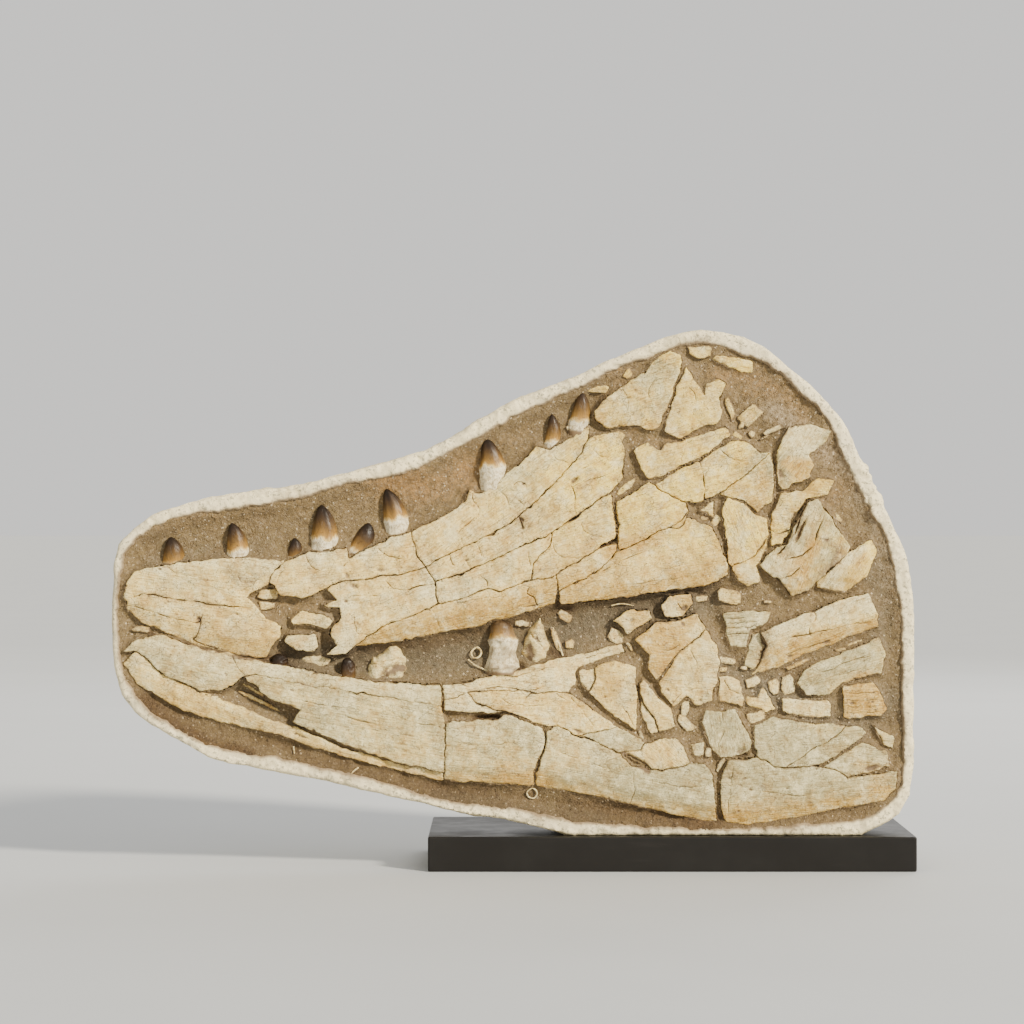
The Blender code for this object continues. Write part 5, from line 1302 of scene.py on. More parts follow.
def plaster_material(sizes):
    """Weathered plaster bandage: mottled, specked, dirty at its inner edge, woven on its back."""
    paint = Paint("weathered_plaster")
    patches = paint.noise(45, 4, 0.6)
    mottle = paint.noise(9, 5, 0.62)
    woven = paint.attribute("woven")
    colour = paint.mix(paint.spread(patches, 0.32, 0.68), tuple(sizes.plaster),
                       shade(0.94, 0.885, 0.72))
    colour = paint.tinted(colour, (mottle, 0.54, 0.34, 0.7, shade(0.80, 0.745, 0.60)))
    crumbs = paint.cells(0.0019, paint.bent(paint.here, 0.0016, 0.003))
    crumbs = paint.node("SeparateColor", {0: crumbs}).outputs[0]
    specks = paint.times(paint.spread(crumbs, 0.80, 0.88), paint.spread(mottle, 0.40, 0.56))
    specks = paint.times(specks, paint.spread(woven, 0.0, 1.0, 1.0, 0.35))
    colour = paint.mix(paint.times(specks, 0.62), colour, shade(0.52, 0.51, 0.43))
    blots = paint.spread(paint.noise(2.8, 4, 0.65), 0.58, 0.70)
    colour = paint.mix(paint.times(blots, 0.6), colour, shade(0.62, 0.57, 0.45))
    dirt = paint.sum(paint.attribute("dirt"), paint.times(paint.sum(mottle, -0.5), 1.0))
    weave = paint.sum(*(paint.streaked(paint.here, stretch, 1, 0.4, 0.35)
                        for stretch in ((1 / 0.0016, 60, 1 / 0.009), (1 / 0.009, 60, 1 / 0.0016))))
    weave = paint.times(weave, paint.times(woven, paint.spread(patches, 0.38, 0.60, 0.25, 1.0)))
    colour = paint.tinted(
        colour, (dirt, 0.10, 0.95, 0.88, shade(0.50, 0.41, 0.30)),
        (weave, 0.9, 1.25, 0.4, shade(0.66, 0.61, 0.50)))
    height = paint.sum(paint.times(mottle, 1.4), paint.times(paint.noise(1.2, 4, 0.7), 0.5))
    height = paint.sum(height, paint.times(weave, 0.45))
    height = paint.sum(height, paint.times(paint.sum(specks, blots), -0.5))
    for length, width, turn in ((0.42, 0.105, 0.42), (0.36, 0.12, -0.95)):
        strips = paint.strips(length, width, turn)
        tones, edges = (paint.times(strips[key], woven) for key in ("Color", "Fac"))
        colour = paint.mix(paint.times(tones, 0.8), colour, (0.84, 0.81, 0.75, 1), DIM)
        seams = paint.times(edges, paint.spread(mottle, 0.35, 0.62, 0.0, 0.4))
        colour = paint.mix(seams, colour, shade(0.62, 0.56, 0.44))
        height = paint.sum(height, paint.sum(paint.times(tones, 1.6), paint.times(edges, -0.5)))
    return paint.finish(colour, paint.spread(mottle, 0.3, 0.7, 0.72, 0.92), height, 1.0, 0.9)


def plinth_material(sizes):
    """Satin black, with a little dust and wear."""
    paint = Paint("painted_plinth")
    dust = paint.noise(60, 5, 0.65)
    scuffs = paint.streaked(paint.here, (12, 160, 160), 4, 0.6)
    paint.shader.inputs["Specular IOR Level"].default_value = 0.16
    colour = paint.tinted(tuple(sizes.plinth), (dust, 0.45, 0.8, 0.5, (0.016, 0.015, 0.013, 1)),
                          (scuffs, 0.62, 0.8, 0.4, (0.026, 0.024, 0.021, 1)))
    return paint.finish(colour, paint.spread(dust, 0.3, 0.7, 0.28, 0.44), scuffs, 0.1, 0.3)


def floor_material(sizes):
    """A plain pale floor."""
    paint = Paint("floor")
    grain = paint.noise(300, 3, 0.5)
    colour = paint.mix(paint.spread(grain, 0.3, 0.7), tuple(sizes.floor),
                       shade(0.727, 0.737, 0.742))
    return paint.finish(colour, 0.85, grain, 0.2, 0.1)


def material_for(name, maker, sizes):
    """A material by its name, made when it isn't there yet."""
    return bpy.data.materials.get(name) or maker(sizes)


# ---------------------------------------------------------------- matrix and chips


def matrix_bed(x, y, rim):
    """The height of the matrix before anything lies in it."""
    hollow = np.zeros(np.shape(x))
    for line, half_width, depth in HOLLOWS:
        hollow += depth * np.exp(-(to_line(x, y, line)[0] / half_width) ** 2)
    bed = MATRIX_BED - hollow + 0.8 * np.sin(x / 17 + y / 23) * np.cos(y / 13 - x / 41)
    inward = smooth(to_line(x, y, rim, True)[0] / RIM_SLOPE)
    return MATRIX_AT_RIM + (bed - MATRIX_AT_RIM) * inward


def within_plate(points, plate):
    """Which places lie in a plate."""
    near = ((points > plate.min(axis=0)) & (points < plate.max(axis=0))).all(axis=1)
    held = np.zeros(len(points), bool)
    held[near] = inside(*points[near].T, plate)
    return held


def lay_matrix(sizes, material):
    """The sandy matrix between the plates, banked up against each of them."""
    rim = divided(rim_loops()[1], 2.2, True)
    outline = rim - inwards(rim) * 1.5
    step = sizes.matrix_step / MM
    grid = grid_within(outline, step, 5)
    covered = np.zeros(len(grid), bool)
    plates = [broken_outline(node, FITTED_STEP) for node in BONES]
    deep, edges, heights = [], [], []
    for node, plate in zip(BONES, plates):
        line = divided(plate, 0.8, True)
        edges.append(line)
        heights.append(solid_surface(node)(*(line + inwards(line) * 2.5).T))
        hits = np.nonzero(within_plate(grid, plate))[0]
        covered[hits[to_line(*grid[hits].T, plate, True)[0] > 3.0]] = True
        ring = line[::5] + inwards(line)[::5] * 4.6
        ring = ring[(to_line(*ring.T, plate, True)[0] > 4.2) & inside(*ring.T, plate)]
        deep.extend((grid_within(plate, 12.0, 9, 6.0), ring))
    shallow = grid[~covered]
    shallow = shallow[to_line(*shallow.T, outline, True)[0] > step * 0.5]
    places, faces = triangulate(outline, np.concatenate((shallow, *deep)))
    x, y = places.T
    edges, heights = np.concatenate(edges), np.concatenate(heights)
    tree = kdtree.KDTree(len(edges))
    for number, place in enumerate(edges):
        tree.insert((*place, 0.0), number)
    tree.balance()
    found = [tree.find((*place, 0.0)) for place in places]
    gap = np.array([hit[2] for hit in found])
    beside = heights[[hit[1] for hit in found]]
    under = np.any([within_plate(places, plate) for plate in plates], axis=0)
    bed = matrix_bed(x, y, rim)
    rough = 0.9 * rock(x, y, 26, 3) + 0.65 * rock(x, y, 8.5, 4) + 0.4 * rock(x, y, 3.2, 6, 2)
    rough += np.clip(lumps(x, y, 5.5, 8) - 0.35, 0, 1)
    height = bed + rough * (0.35 + 0.65 * smooth(gap / 5.0))
    reach = 2.4 + 1.6 * lumps(x, y, 19, 12)
    bank = beside - 0.35 + 0.5 * lumps(x, y, 7, 14) + 1.0 * lumps(x, y, 17, 15)
    height += np.clip(bank - height, 0, None) * np.exp(-gap / np.maximum(reach, 0.8)) * ~under
    height = np.where(under, np.minimum(bank - 1.1 - gap * 1.6, height + 4), height)
    # Painted shade in the sunk slots
    deep_shade = np.zeros(len(places))
    for *oval, depth in DEEPS:
        sunk = smooth(1.4 - in_oval(x, y, *oval))
        height -= depth * sunk
        deep_shade += 0.9 * sunk
    warp_x, warp_y = x + 4 * rock(x, y, 14, 21), y + 4 * rock(x, y, 14, 22)
    values = {key: np.zeros(len(places)) for key in ("rust", "grey", "shade", "pale")}
    for key, strength, span, line in MATRIX_STAINS:
        values[key] += strength * np.exp(-(to_line(warp_x, warp_y, line)[0] / span) ** 2)
    # More painted shade: in the slots, in the narrow gaps beside the plates, and where the bed lies
    # deep
    values["shade"] += deep_shade + 0.22 * np.exp(-gap / 2.2) + 0.2 * smooth((-bed - 7) / 9)
    values = {key: np.clip(value, 0, 1) for key, value in values.items()}
    values["loose"] = np.where(under, 0.0, smooth((gap - 0.8) / 2.0))
    verts, polygons, source = raised(places, faces, height, MATRIX_BACK)
    values = {key: value[source] for key, value in values.items()}
    values["loose"][len(places):] = 0.0
    piece = make_piece("matrix_ground", verts, polygons, material, values)
    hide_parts("matrix")
    return piece


def lay_chips(material):
    """Chips and splinters of bone that stick out of the matrix."""
    rim = rim_loops()[1]
    verts, polygons, start = [], [], 0
    values = {key: [] for key in (*TONES, "lie")}
    draw = np.random.default_rng(CHIP_SEED)
    for number, (x, y, length, width, turn, finish) in enumerate(CHIPS):
        count = 6 if length < 16 else 8
        angles = np.linspace(0, 2 * np.pi, count, endpoint=False)
        angles = angles + draw.uniform(-0.3, 0.3, count) + 0.4
        u, v = (np.sign(wave) * np.abs(wave) ** 0.62 * size / 2
                for wave, size in ((np.cos(angles), length), (np.sin(angles), width)))
        u, v = turned(u, v, math.radians(turn))
        stretch = draw.uniform(0.72, 1.16, count)
        corners = np.stack((x + u * stretch, y + v * stretch), axis=1)
        outline = ragged(corners, 1.1, 0.45, 3.0, number)
        places, faces = triangulate(outline, grid_within(outline, 1.3, number, 0.6))
        px, py = places.T
        edge, _ = to_line(px, py, outline, True)
        bed = float(matrix_bed(np.array([x]), np.array([y]), rim)[0])
        lean = draw.uniform(-0.10, 0.10, 2)
        top = bed + draw.uniform(2.6, 4.2) + (px - x) * lean[0] + (py - y) * lean[1]
        top += 0.7 * rock(px, py, 8, number) + 0.3 * rock(px, py, 2.6, number)
        top -= 0.9 * rounded(edge, 1.1)
        chip, sides, source = raised(places, faces, top, bed - CHIP_DEPTH, 1)
        verts.append(chip)
        polygons.extend(tuple(int(i) + start for i in face) for face in sides)
        start += len(chip)
        tones = painted(px, py, "bone_" + finish, number)
        tones["soil"] = np.clip(0.7 * np.exp(-(edge / 0.8) ** 2) + 0.22 + tones["soil"], 0, 1)
        tones["lie"] = np.stack((*turned(px, py, -math.radians(turn)),
                                 np.full(len(px), 5.0 * number)), axis=1)
        for key, value in tones.items():
            values[key].append(value[source])
        values["soil"][-1][len(places):] = 0.9
    values = {key: np.concatenate(value) for key, value in values.items()}
    make_piece("matrix_chips", np.concatenate(verts), polygons, material, values)


def tube(line, radius, sides, closed):
    """A closed tube of rings about a line of places."""
    along = directions(line, closed)
    side = np.cross(along, (0.0, -1.0, 0.0))
    side /= np.maximum(np.linalg.norm(side, axis=1), 1e-9)[:, None]
    up = np.cross(side, along)
    turns = [2 * math.pi * k / sides for k in range(sides)]
    verts = np.stack([line + (side * math.cos(turn) + up * math.sin(turn)) * radius[:, None]
                      for turn in turns], axis=1)
    return verts.reshape(-1, 3), ring_faces(len(line), sides, closed)


def lay_strands(material):
    """The pale rings and strands that cross the matrix."""
    rim = rim_loops()[1]
    verts, faces, start = [], [], 0
    for radius, rise, closed, points in STRANDS:
        line = curved(points, 0.9, closed)
        h = matrix_bed(*line.T, rim) + rise + 0.3 * lumps(*line.T, 5, 2)
        size = radius * (1 + 0.25 * lumps(*line.T, 3, 4)) * MM
        ring, sides = tube(to_model(*line.T, h), size, 8, closed)
        verts.append(ring)
        faces.extend(tuple(i + start for i in side) for side in sides)
        start += len(ring)
    verts = np.concatenate(verts)
    flat = np.zeros(len(verts))
    values = {"ochre": flat, "grey": flat, "white": flat + 0.8, "soil": flat + 0.15,
              "warm_and_lit": flat, "lie": verts / MM}
    make_piece("matrix_strands", verts, faces, material, values)


def scatter_grit(ground, sizes, material):
    """Loose grains strewn over the open matrix by a node group."""
    group = bpy.data.node_groups.new("Strewn grit", "GeometryNodeTree")
    face = group.interface
    face.new_socket("Geometry", in_out="INPUT", socket_type="NodeSocketGeometry")
    keys = {name: face.new_socket(name, in_out="INPUT", socket_type="NodeSocket" + kind).identifier
            for name, kind in (("Density", "Float"), ("Grain size", "Float"), ("Seed", "Int"),
                               ("Material", "Material"))}
    face.new_socket("Geometry", in_out="OUTPUT", socket_type="NodeSocketGeometry")

    def node(kind, inputs, output=0, **settings):
        return add_node(group, kind, inputs, **settings).outputs[output]

    start = add_node(group, "NodeGroupInput", {}).outputs
    loose = node("GeometryNodeInputNamedAttribute", {"Name": "loose"}, "Attribute",
                 data_type="FLOAT")
    density = node("ShaderNodeMath", {0: loose, 1: start["Density"]}, operation="MULTIPLY")
    points = node("GeometryNodeDistributePointsOnFaces", {
        "Mesh": start["Geometry"], "Density": density, "Seed": start["Seed"]}, "Points")
    grain = node("GeometryNodeMeshIcoSphere", {
        "Subdivisions": 1, "Radius": start["Grain size"]}, "Mesh")
    scale = node("FunctionNodeRandomValue", {
        0: (0.35, 0.3, 0.35), 1: (1.5, 0.9, 1.3), "Seed": start["Seed"]},
        data_type="FLOAT_VECTOR")
    turn = node("FunctionNodeRandomValue", {1: (6.28, 6.28, 6.28)}, data_type="FLOAT_VECTOR")
    grains = node("GeometryNodeInstanceOnPoints", {
        "Points": points, "Instance": grain, "Scale": scale, "Rotation": turn}, "Instances")
    tone = node("FunctionNodeRandomValue", {}, 1, data_type="FLOAT")
    rare = node("ShaderNodeMath", {0: tone, 1: 7.0}, operation="POWER")
    grains = node("GeometryNodeStoreNamedAttribute", {
        "Geometry": grains, "Name": "pale", "Value": rare}, "Geometry",
        data_type="FLOAT", domain="INSTANCE")
    grains = node("GeometryNodeRealizeInstances", {"Geometry": grains}, "Geometry")
    grains = node("GeometryNodeSetMaterial", {
        "Geometry": grains, "Material": start["Material"]}, "Geometry")
    add_node(group, "NodeGroupOutput", {"Geometry": grains})

    host = bpy.data.objects.new("grit_host", ground.data)
    bpy.context.scene.collection.objects.link(host)
    modifier = host.modifiers.new("Grit", "NODES")
    modifier.node_group = group
    modifier[keys["Density"]] = float(sizes.grit_density)
    modifier[keys["Grain size"]] = float(sizes.grit_size)
    modifier[keys["Seed"]] = GRIT_SEED
    modifier[keys["Material"]] = material
    graph = bpy.context.evaluated_depsgraph_get()
    mesh = bpy.data.meshes.new_from_object(host.evaluated_get(graph))
    bpy.data.objects.remove(host)
    mesh.name = "matrix_grit"
    piece = bpy.data.objects.new("matrix_grit", mesh)
    bpy.context.scene.collection.objects.link(piece)
    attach(piece, "root")


# ---------------------------------------------------------------- teeth


def lay_tooth(number, tooth, material):
    """One tooth crown with its root: carinae, faint facets, and stains that run up to the tip."""
    name, tip, base, width, axis, root, profile, root_share, darkness = tooth
    tip, base = np.array(tip, float), np.array(base, float)
    length = float(np.linalg.norm(tip - base))
    along = (tip - base) / length
    side = np.array((-along[1], along[0]))
    stations = np.concatenate((np.linspace(-root / length, 0, 6)[:-1],
                               1 - (1 - np.linspace(0, 1, TOOTH_RINGS)) ** 1.35))
    turns = 2 * np.pi * np.arange(TOOTH_SIDES) / TOOTH_SIDES
    verts, crown, soil, lie = [], [], [], []
    for t in stations:
        share = float(np.interp(t, *zip(*profile))) if t > 0 else 1.0 + 0.06 * t
        if root_share > 0:
            share *= 1.0 + 0.05 * math.exp(-((t - min(root_share, 0.9)) / 0.06) ** 2)
            share *= 1.0 - 0.05 * float(smooth((root_share - t) / 0.3))
        radius = width / 2 * share
        bow = 0.05 * length * math.sin(math.pi * min(1.0, max(0.0, t)))
        centre = base + along * t * length + side * bow
        flat = np.full(TOOTH_SIDES, t * 31.0)
        ripple = 1 + 0.030 * lumps(turns * 5 + number * 9, flat * 0.6, 2.4, 3)
        ripple += 0.018 * np.cos(turns * 9 + number) + 0.020 * np.exp(-(np.sin(turns) / 0.16) ** 2)
        around = np.cos(turns) * 9 + 40, np.sin(turns) * 9 + flat
        if profile is STUMP:
            ripple += 0.15 * rock(*around, 7.0, number)
        elif t < root_share:
            ripple += (0.15 if profile is BLUNT else 0.06) * rock(*around, 6.0, number)
        x, y = centre[:, None] + np.outer(side, radius * np.cos(turns) * ripple)
        out_by = 0.8 * radius * np.sin(turns) * ripple
        verts.append(to_model(x, y, axis + 2.5 * max(0.0, t) + out_by))
        enamel = (t - root_share) / max(1 - root_share, 0.3)
        enamel += 0.10 * lumps(turns * 4, np.full(TOOTH_SIDES, number * 3.0), 2.0, 5)
        enamel = np.where(enamel > 0, enamel * (0.45 + 0.65 * darkness), enamel)
        crown.append(np.clip(enamel, -1, 1))
        spoiled = 0.9 * float(smooth((0.05 - t) / 0.2))
        if profile is BLUNT:
            spoiled += 0.36 + 0.25 * rock(turns * 4, flat * 0.6, 1.7, 8)
        soil.append(np.full(TOOTH_SIDES, spoiled))
        lie.append(np.stack((np.full(TOOTH_SIDES, t * length), turns * radius,
                             np.full(TOOTH_SIDES, 9.0 * number)), axis=1))
    verts = np.concatenate(verts)
    values = {"crown": np.concatenate(crown), "soil": np.concatenate(soil),
              "lie": np.concatenate(lie)}
    faces = outward(verts, ring_faces(len(stations), TOOTH_SIDES))
    make_piece(name, verts, faces, material, values)


def lay_root(number, root, material):
    """A broken root: a crumbly, domed lump of bone with a soiled hollow in it."""
    name, corners, hollow = root
    outline = ragged(corners, 0.9, 0.8, 5.0, number)
    places, faces = triangulate(outline, grid_within(outline, 1.0, number, 0.5))
    x, y = places.T
    edge, _ = to_line(x, y, outline, True)
    sunk = np.exp(-(to_line(x, y, hollow)[0] / 6.0) ** 2)
    split = to_line(x + 2 * rock(x, y, 8, 3), y + 2 * rock(x, y, 8, 4), (corners[1], corners[7]))[0]
    crack = np.exp(-(split / 0.9) ** 2)
    top = -16 + 12.5 * (1 - rounded(edge, 11.0)) - 4.0 * sunk
    top += 1.5 * rock(x, y, 14, number) + 0.6 * rock(x, y, 5, number + 1)
    top -= 1.6 * crack
    values = painted(x, y, "bone_white", number)
    values["soil"] = np.clip(0.95 * sunk * smooth(1.2 + rock(x, y, 5, 7)) + 0.5 * crack
                             + 0.5 * smooth(rock(x, y, 8, 31) * 1.6 - 0.1), 0, 1)
    values["grey"] = np.clip(values["grey"] + 0.5 * smooth(rock(x, y, 12, 33)), 0, 1)
    values["lie"] = np.stack((x, y, np.full(len(x), 3.0 * number)), axis=1)
    lump, sides, source = raised(places, faces, top, ROOT_BACK)
    values = {key: value[source] for key, value in values.items()}
    make_piece(name, lump, sides, material, values)


# ---------------------------------------------------------------- jacket


@functools.lru_cache(maxsize=None)
def rim_loops():
    """The outer and inner outlines of the jacket's rim, read from its solid."""
    mesh = frame["nodes"]["jacket"].data
    level = FACE_Y + RIM_ROUND * MM
    beside = {}
    for polygon in mesh.polygons:
        corners = [mesh.vertices[i].co for i in polygon.vertices]
        keys = [(round(c.x, 5), round(c.z, 5)) if abs(c.y - level) < 1e-5 else None
                for c in corners]
        for a, b in zip(keys, keys[1:] + keys[:1]):
            if a and b and a != b:
                beside.setdefault(a, set()).add(b)
                beside.setdefault(b, set()).add(a)
    loops = []
    while beside:
        loop, here = [], min(beside)
        while here is not None:
            loop.append(here)
            ends = beside.pop(here)
            here = next((end for end in ends if end in beside), None)
        loops.append(from_model(loop))
    if len(loops) != 2:
        raise RuntimeError(f"the jacket's rim has {len(loops)} outlines instead of 2")
    return sorted(loops, key=lambda loop: -abs(area(loop)))


def towards_spine(places, share):
    """Places moved a share of their way to the middle line of the block."""
    a, b = np.array(SPINE[0]), np.array(SPINE[1])
    t = np.clip((places - a) @ (b - a) / ((b - a) @ (b - a)), 0, 1)
    return places + (a + (b - a) * t[:, None] - places) * share


def back_relief(x, y, share=1.0):
    """The lumps, by a share, and the creases of the jacket's domed back."""
    relief = (1.6 * rock(x, y, 60, 31) + 0.8 * rock(x, y, 16, 32)) * share
    return relief - 1.2 * smooth(4 * (lumps(x * 0.5 + y * 0.9, x * 0.25, 45, 33) - 0.1))


class Shell:
    """A plaster shell that grows row by row from the edges of its rim."""

    def __init__(self, places, faces, height, dirt):
        self.verts = [to_model(*places.T, height)]
        self.faces = [tuple(face) for face in faces]
        self.dirt, self.woven = [dirt], [np.zeros(len(places))]
        self.count = len(places)

    def add(self, flat, h, dirt, woven):
        """More places, each with its height, and their numbers."""
        self.verts.append(to_model(*flat.T, h))
        self.dirt.append(np.broadcast_to(dirt, len(flat)))
        self.woven.append(np.full(len(flat), woven))
        self.count += len(flat)
        return range(self.count - len(flat), self.count)

    def add_row(self, before, flat, h, dirt, woven):
        """A row of places, joined to the row before it."""
        row = self.add(flat, h, dirt, woven)
        for k in range(len(row)):
            n = (k + 1) % len(row)
            self.faces.append((before[n], before[k], row[k], row[n]))
        return row


def jacket_rim(sizes):
    """The lumpy face of the jacket's rim with its torn laps, and its outer and inner edges."""
    outer, inner = rim_loops()
    step = sizes.plaster_step / MM
    outer = ragged(outer, step, 0.8, 18, 2)
    knob = np.exp(-(to_line(*outer.T, KNOB)[0] / 9.0) ** 2)
    outer -= inwards(outer) * (knob * (4.2 + 2.2 * lumps(*outer.T, 5, 21)))[:, None]
    outer[:, 1] = np.where(outer[:, 1] > FOOT_Y - 1.2, FOOT_Y, outer[:, 1])
    inner = divided(inner, step * 0.7, True)
    tear = 1.2 + 1.3 * rock(*inner.T, 12, 6) + 0.5 * lumps(*inner.T, 3, 1)
    crumbly = 2.5 * np.exp(-(to_line(*inner.T, CRUMBLY)[0] / 12) ** 2)
    tear += crumbly * (0.6 + lumps(*inner.T, 5, 3))
    inner += inwards(inner) * np.clip(tear, -0.6, 6.0)[:, None]
    grid = grid_within(outer, step, 8, step * 0.55)
    grid = grid[~inside(*grid.T, inner)]
    grid = grid[to_line(*grid.T, inner, True)[0] > step * 0.55]
    places, faces = triangulate(outer, grid, [np.concatenate((inner, inner[:1]))])
    faces = faces[~inside(*places[faces].mean(axis=1).T, inner)]
    x, y = places.T
    to_outer, to_inner = (to_line(x, y, loop, True)[0] for loop in (outer, inner))
    height = 1.1 * rock(x, y, 24, 1) + 1.0 * rock(x, y, 7.5, 5) + 0.55 * rock(x, y, 3.6, 9, 2)
    height -= 1.1 * smooth(6 * (lumps(x, y, 8.5, 17) - 0.4))
    height += 1.6 * np.exp(-(to_line(x, y, KNOB)[0] / 9.0) ** 2) * rock(x, y, 6, 41)
    for thickness, corners in LAPS:
        lap = ragged(corners, 2.0, 1.6, 8, 7)
        height += inside(x, y, lap) * thickness * smooth(to_line(x, y, lap, True)[0] / 1.8)
    height -= 3.6 * rounded(to_outer, 4.5)
    height -= 2.6 * rounded(to_inner, 2.2 + 0.9 * lumps(x, y, 14, 4))
    height = np.clip(height, -6.0, 2.6)
    dirt = (0.75 * np.exp(-(to_inner / 2.2) ** 2) + 0.30 * np.exp(-(to_inner / 7) ** 2)
            + 0.25 * np.clip(rock(x, y, 40, 12), 0, 1))
    edges = sorted(loops_of(rim_edges(faces).tolist()), key=lambda loop: -abs(area(places[loop])))
    if len(edges) != 2:
        raise RuntimeError(f"the plaster rim came out with {len(edges)} edges instead of 2")
    return places, faces, height, dirt, edges


def lay_jacket(sizes, material):
    """The plaster jacket: a lumpy rim with torn laps, its walls and its domed, woven back."""
    places, faces, height, dirt, (row, inner_row) = jacket_rim(sizes)
    shell = Shell(places, faces, height, dirt)
    edge = places[row]
    out = -inwards(edge)
    at_foot = edge[:, 1] > FOOT_Y - 0.5
    shares, levels = zip(*JACKET_BACK)
    for k, depth in enumerate(np.linspace(height[row].mean() - 2.5, levels[0], WALL_ROWS)):
        bulge = min(1.0, (k + 1) / 3) * (
            1.5 * rock(edge[:, 0] + 0.7 * depth, edge[:, 1] - 1.1 * depth, 34, 15)
            + 0.6 * rock(edge[:, 0] - 1.3 * depth, edge[:, 1] + depth, 9, 16))
        flat = edge + out * np.where(at_foot, 0.0, bulge)[:, None]
        flat[:, 1] = np.where(at_foot, FOOT_Y, np.minimum(flat[:, 1], FOOT_Y))
        dirty = 0.12 + 0.2 * np.clip(rock(flat[:, 0], flat[:, 1] + depth, 30, 2), 0, 1)
        row = shell.add_row(row, flat, depth, dirty, min(1.0, k / 4))
    last = flat
    fine = np.linspace(0.0, shares[-1], 200)
    curve = np.pad(np.interp(fine, shares, levels), 6, mode="edge")
    curve = np.convolve(curve, np.ones(13) / 13, "valid")
    for share in np.linspace(0, 1, BACK_ROWS)[1:] ** 1.25 * shares[-1]:
        flat = towards_spine(last, share)
        h = np.interp(share, fine, curve) + back_relief(*flat.T, min(1.0, share * 8))
        row = shell.add_row(row, flat, h, 0.10 + 0.25 * np.clip(rock(*flat.T, 70, 34), 0, 1), 1.0)
    cap, lids = triangulate(flat, grid_within(flat, 7.0, 3, 3.0))
    known = {(round(x, 3), round(y, 3)): number for (x, y), number in zip(flat, row)}
    numbers = [known.get((round(x, 3), round(y, 3))) for x, y in cap]
    extra = cap[[number is None for number in numbers]]
    fresh = iter(shell.add(extra, curve[-1] + back_relief(*extra.T), 0.15, 1.0))
    numbers = [next(fresh) if number is None else number for number in numbers]
    shell.faces.extend(tuple(numbers[i] for i in reversed(face)) for face in lids)
    edge = places[inner_row]
    for depth in INNER_DEPTHS:
        inner_row = shell.add_row(inner_row, edge, depth, 0.9, 0.0)
    shell.faces.append(tuple(reversed(inner_row)))
    piece = make_piece("jacket_shell", np.concatenate(shell.verts), shell.faces, material,
                       {"dirt": np.concatenate(shell.dirt),
                                          "woven": np.concatenate(shell.woven)})
    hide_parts("jacket")


# ---------------------------------------------------------------- stage


def add_object(name, data, place=(0, 0, 0)):
    """An object of the stage."""
    thing = bpy.data.objects.new(name, data)
    thing.location = place
    bpy.context.scene.collection.objects.link(thing)
    return thing


def facing(way):
    """The rotation of a light that shines in a direction."""
    return Vector(way).to_track_quat("-Z", "Y").to_euler()


def set_stage(sizes):
    """The pale floor, the studio light and the camera at the photo's viewing angle."""
    mesh = bpy.data.meshes.new("floor")
    turns = [2 * math.pi * k / FLOOR_SIDES for k in range(FLOOR_SIDES)]
    verts = [(0.0, 0.0, 0.0)] + [(radius * math.cos(turn), radius * math.sin(turn), 0.0)
                                 for radius in FLOOR_RINGS for turn in turns]
    beside = [(k, (k + 1) % FLOOR_SIDES) for k in range(FLOOR_SIDES)]
    faces = [(0, 1 + k, 1 + n) for k, n in beside]
    for ring in range(len(FLOOR_RINGS) - 1):
        a, b = 1 + ring * FLOOR_SIDES, 1 + (ring + 1) * FLOOR_SIDES
        faces.extend((a + k, b + k, b + n, a + n) for k, n in beside)
    mesh.from_pydata(verts, [], faces)
    mesh.materials.append(material_for("floor", floor_material, sizes))
    floor = add_object("floor", mesh)
    sun = bpy.data.lights.new("sun", "SUN")
    sun.energy, sun.angle, sun.color = SUN_POWER, SUN_WIDTH, SUN_COLOUR
    add_object("sun", sun).rotation_euler = facing(SUN_WAY)
    for name, place, size, power, colour in LIGHTS:
        light = bpy.data.lights.new(name, "AREA")
        light.shape = "RECTANGLE"
        light.size, light.size_y = size
        light.energy, light.color = power, colour
        way = Vector(LIT_PLACE) - Vector(place)
        add_object(name, light, place).rotation_euler = facing(way)
    world = bpy.data.worlds.new("pale_room")
    world.use_nodes = True
    background = world.node_tree.nodes["Background"]
    background.inputs["Color"].default_value = ROOM_COLOUR
    background.inputs["Strength"].default_value = ROOM_STRENGTH
    bpy.context.scene.world = world
    lens = bpy.data.cameras.new("photo_camera")
    lens.sensor_width = SENSOR
    lens.lens = SENSOR * VIEW_DISTANCE / (PHOTO_SIZE * MM)
    middle = PHOTO_SIZE / 2
    place = ((middle - CENTRE_X) * MM, FACE_Y - VIEW_DISTANCE, (FLOOR_Y - middle) * MM)
    camera = add_object("photo_camera", lens, place)
    camera.rotation_euler = (math.radians(90), 0, 0)
    bpy.context.scene.camera = camera


# ---------------------------------------------------------------- add-on


def colour_property(name, description, default):
    """A colour that a user can change."""
    return FloatVectorProperty(name=name, description=description, subtype="COLOR", size=4,
                               min=0.0, max=1.0, default=default)


def length_property(name, description, default, least, most):
    """A length in metres that a user can change."""
    return FloatProperty(name=name, description=description, default=default, min=least,
                         max=most, unit="LENGTH")


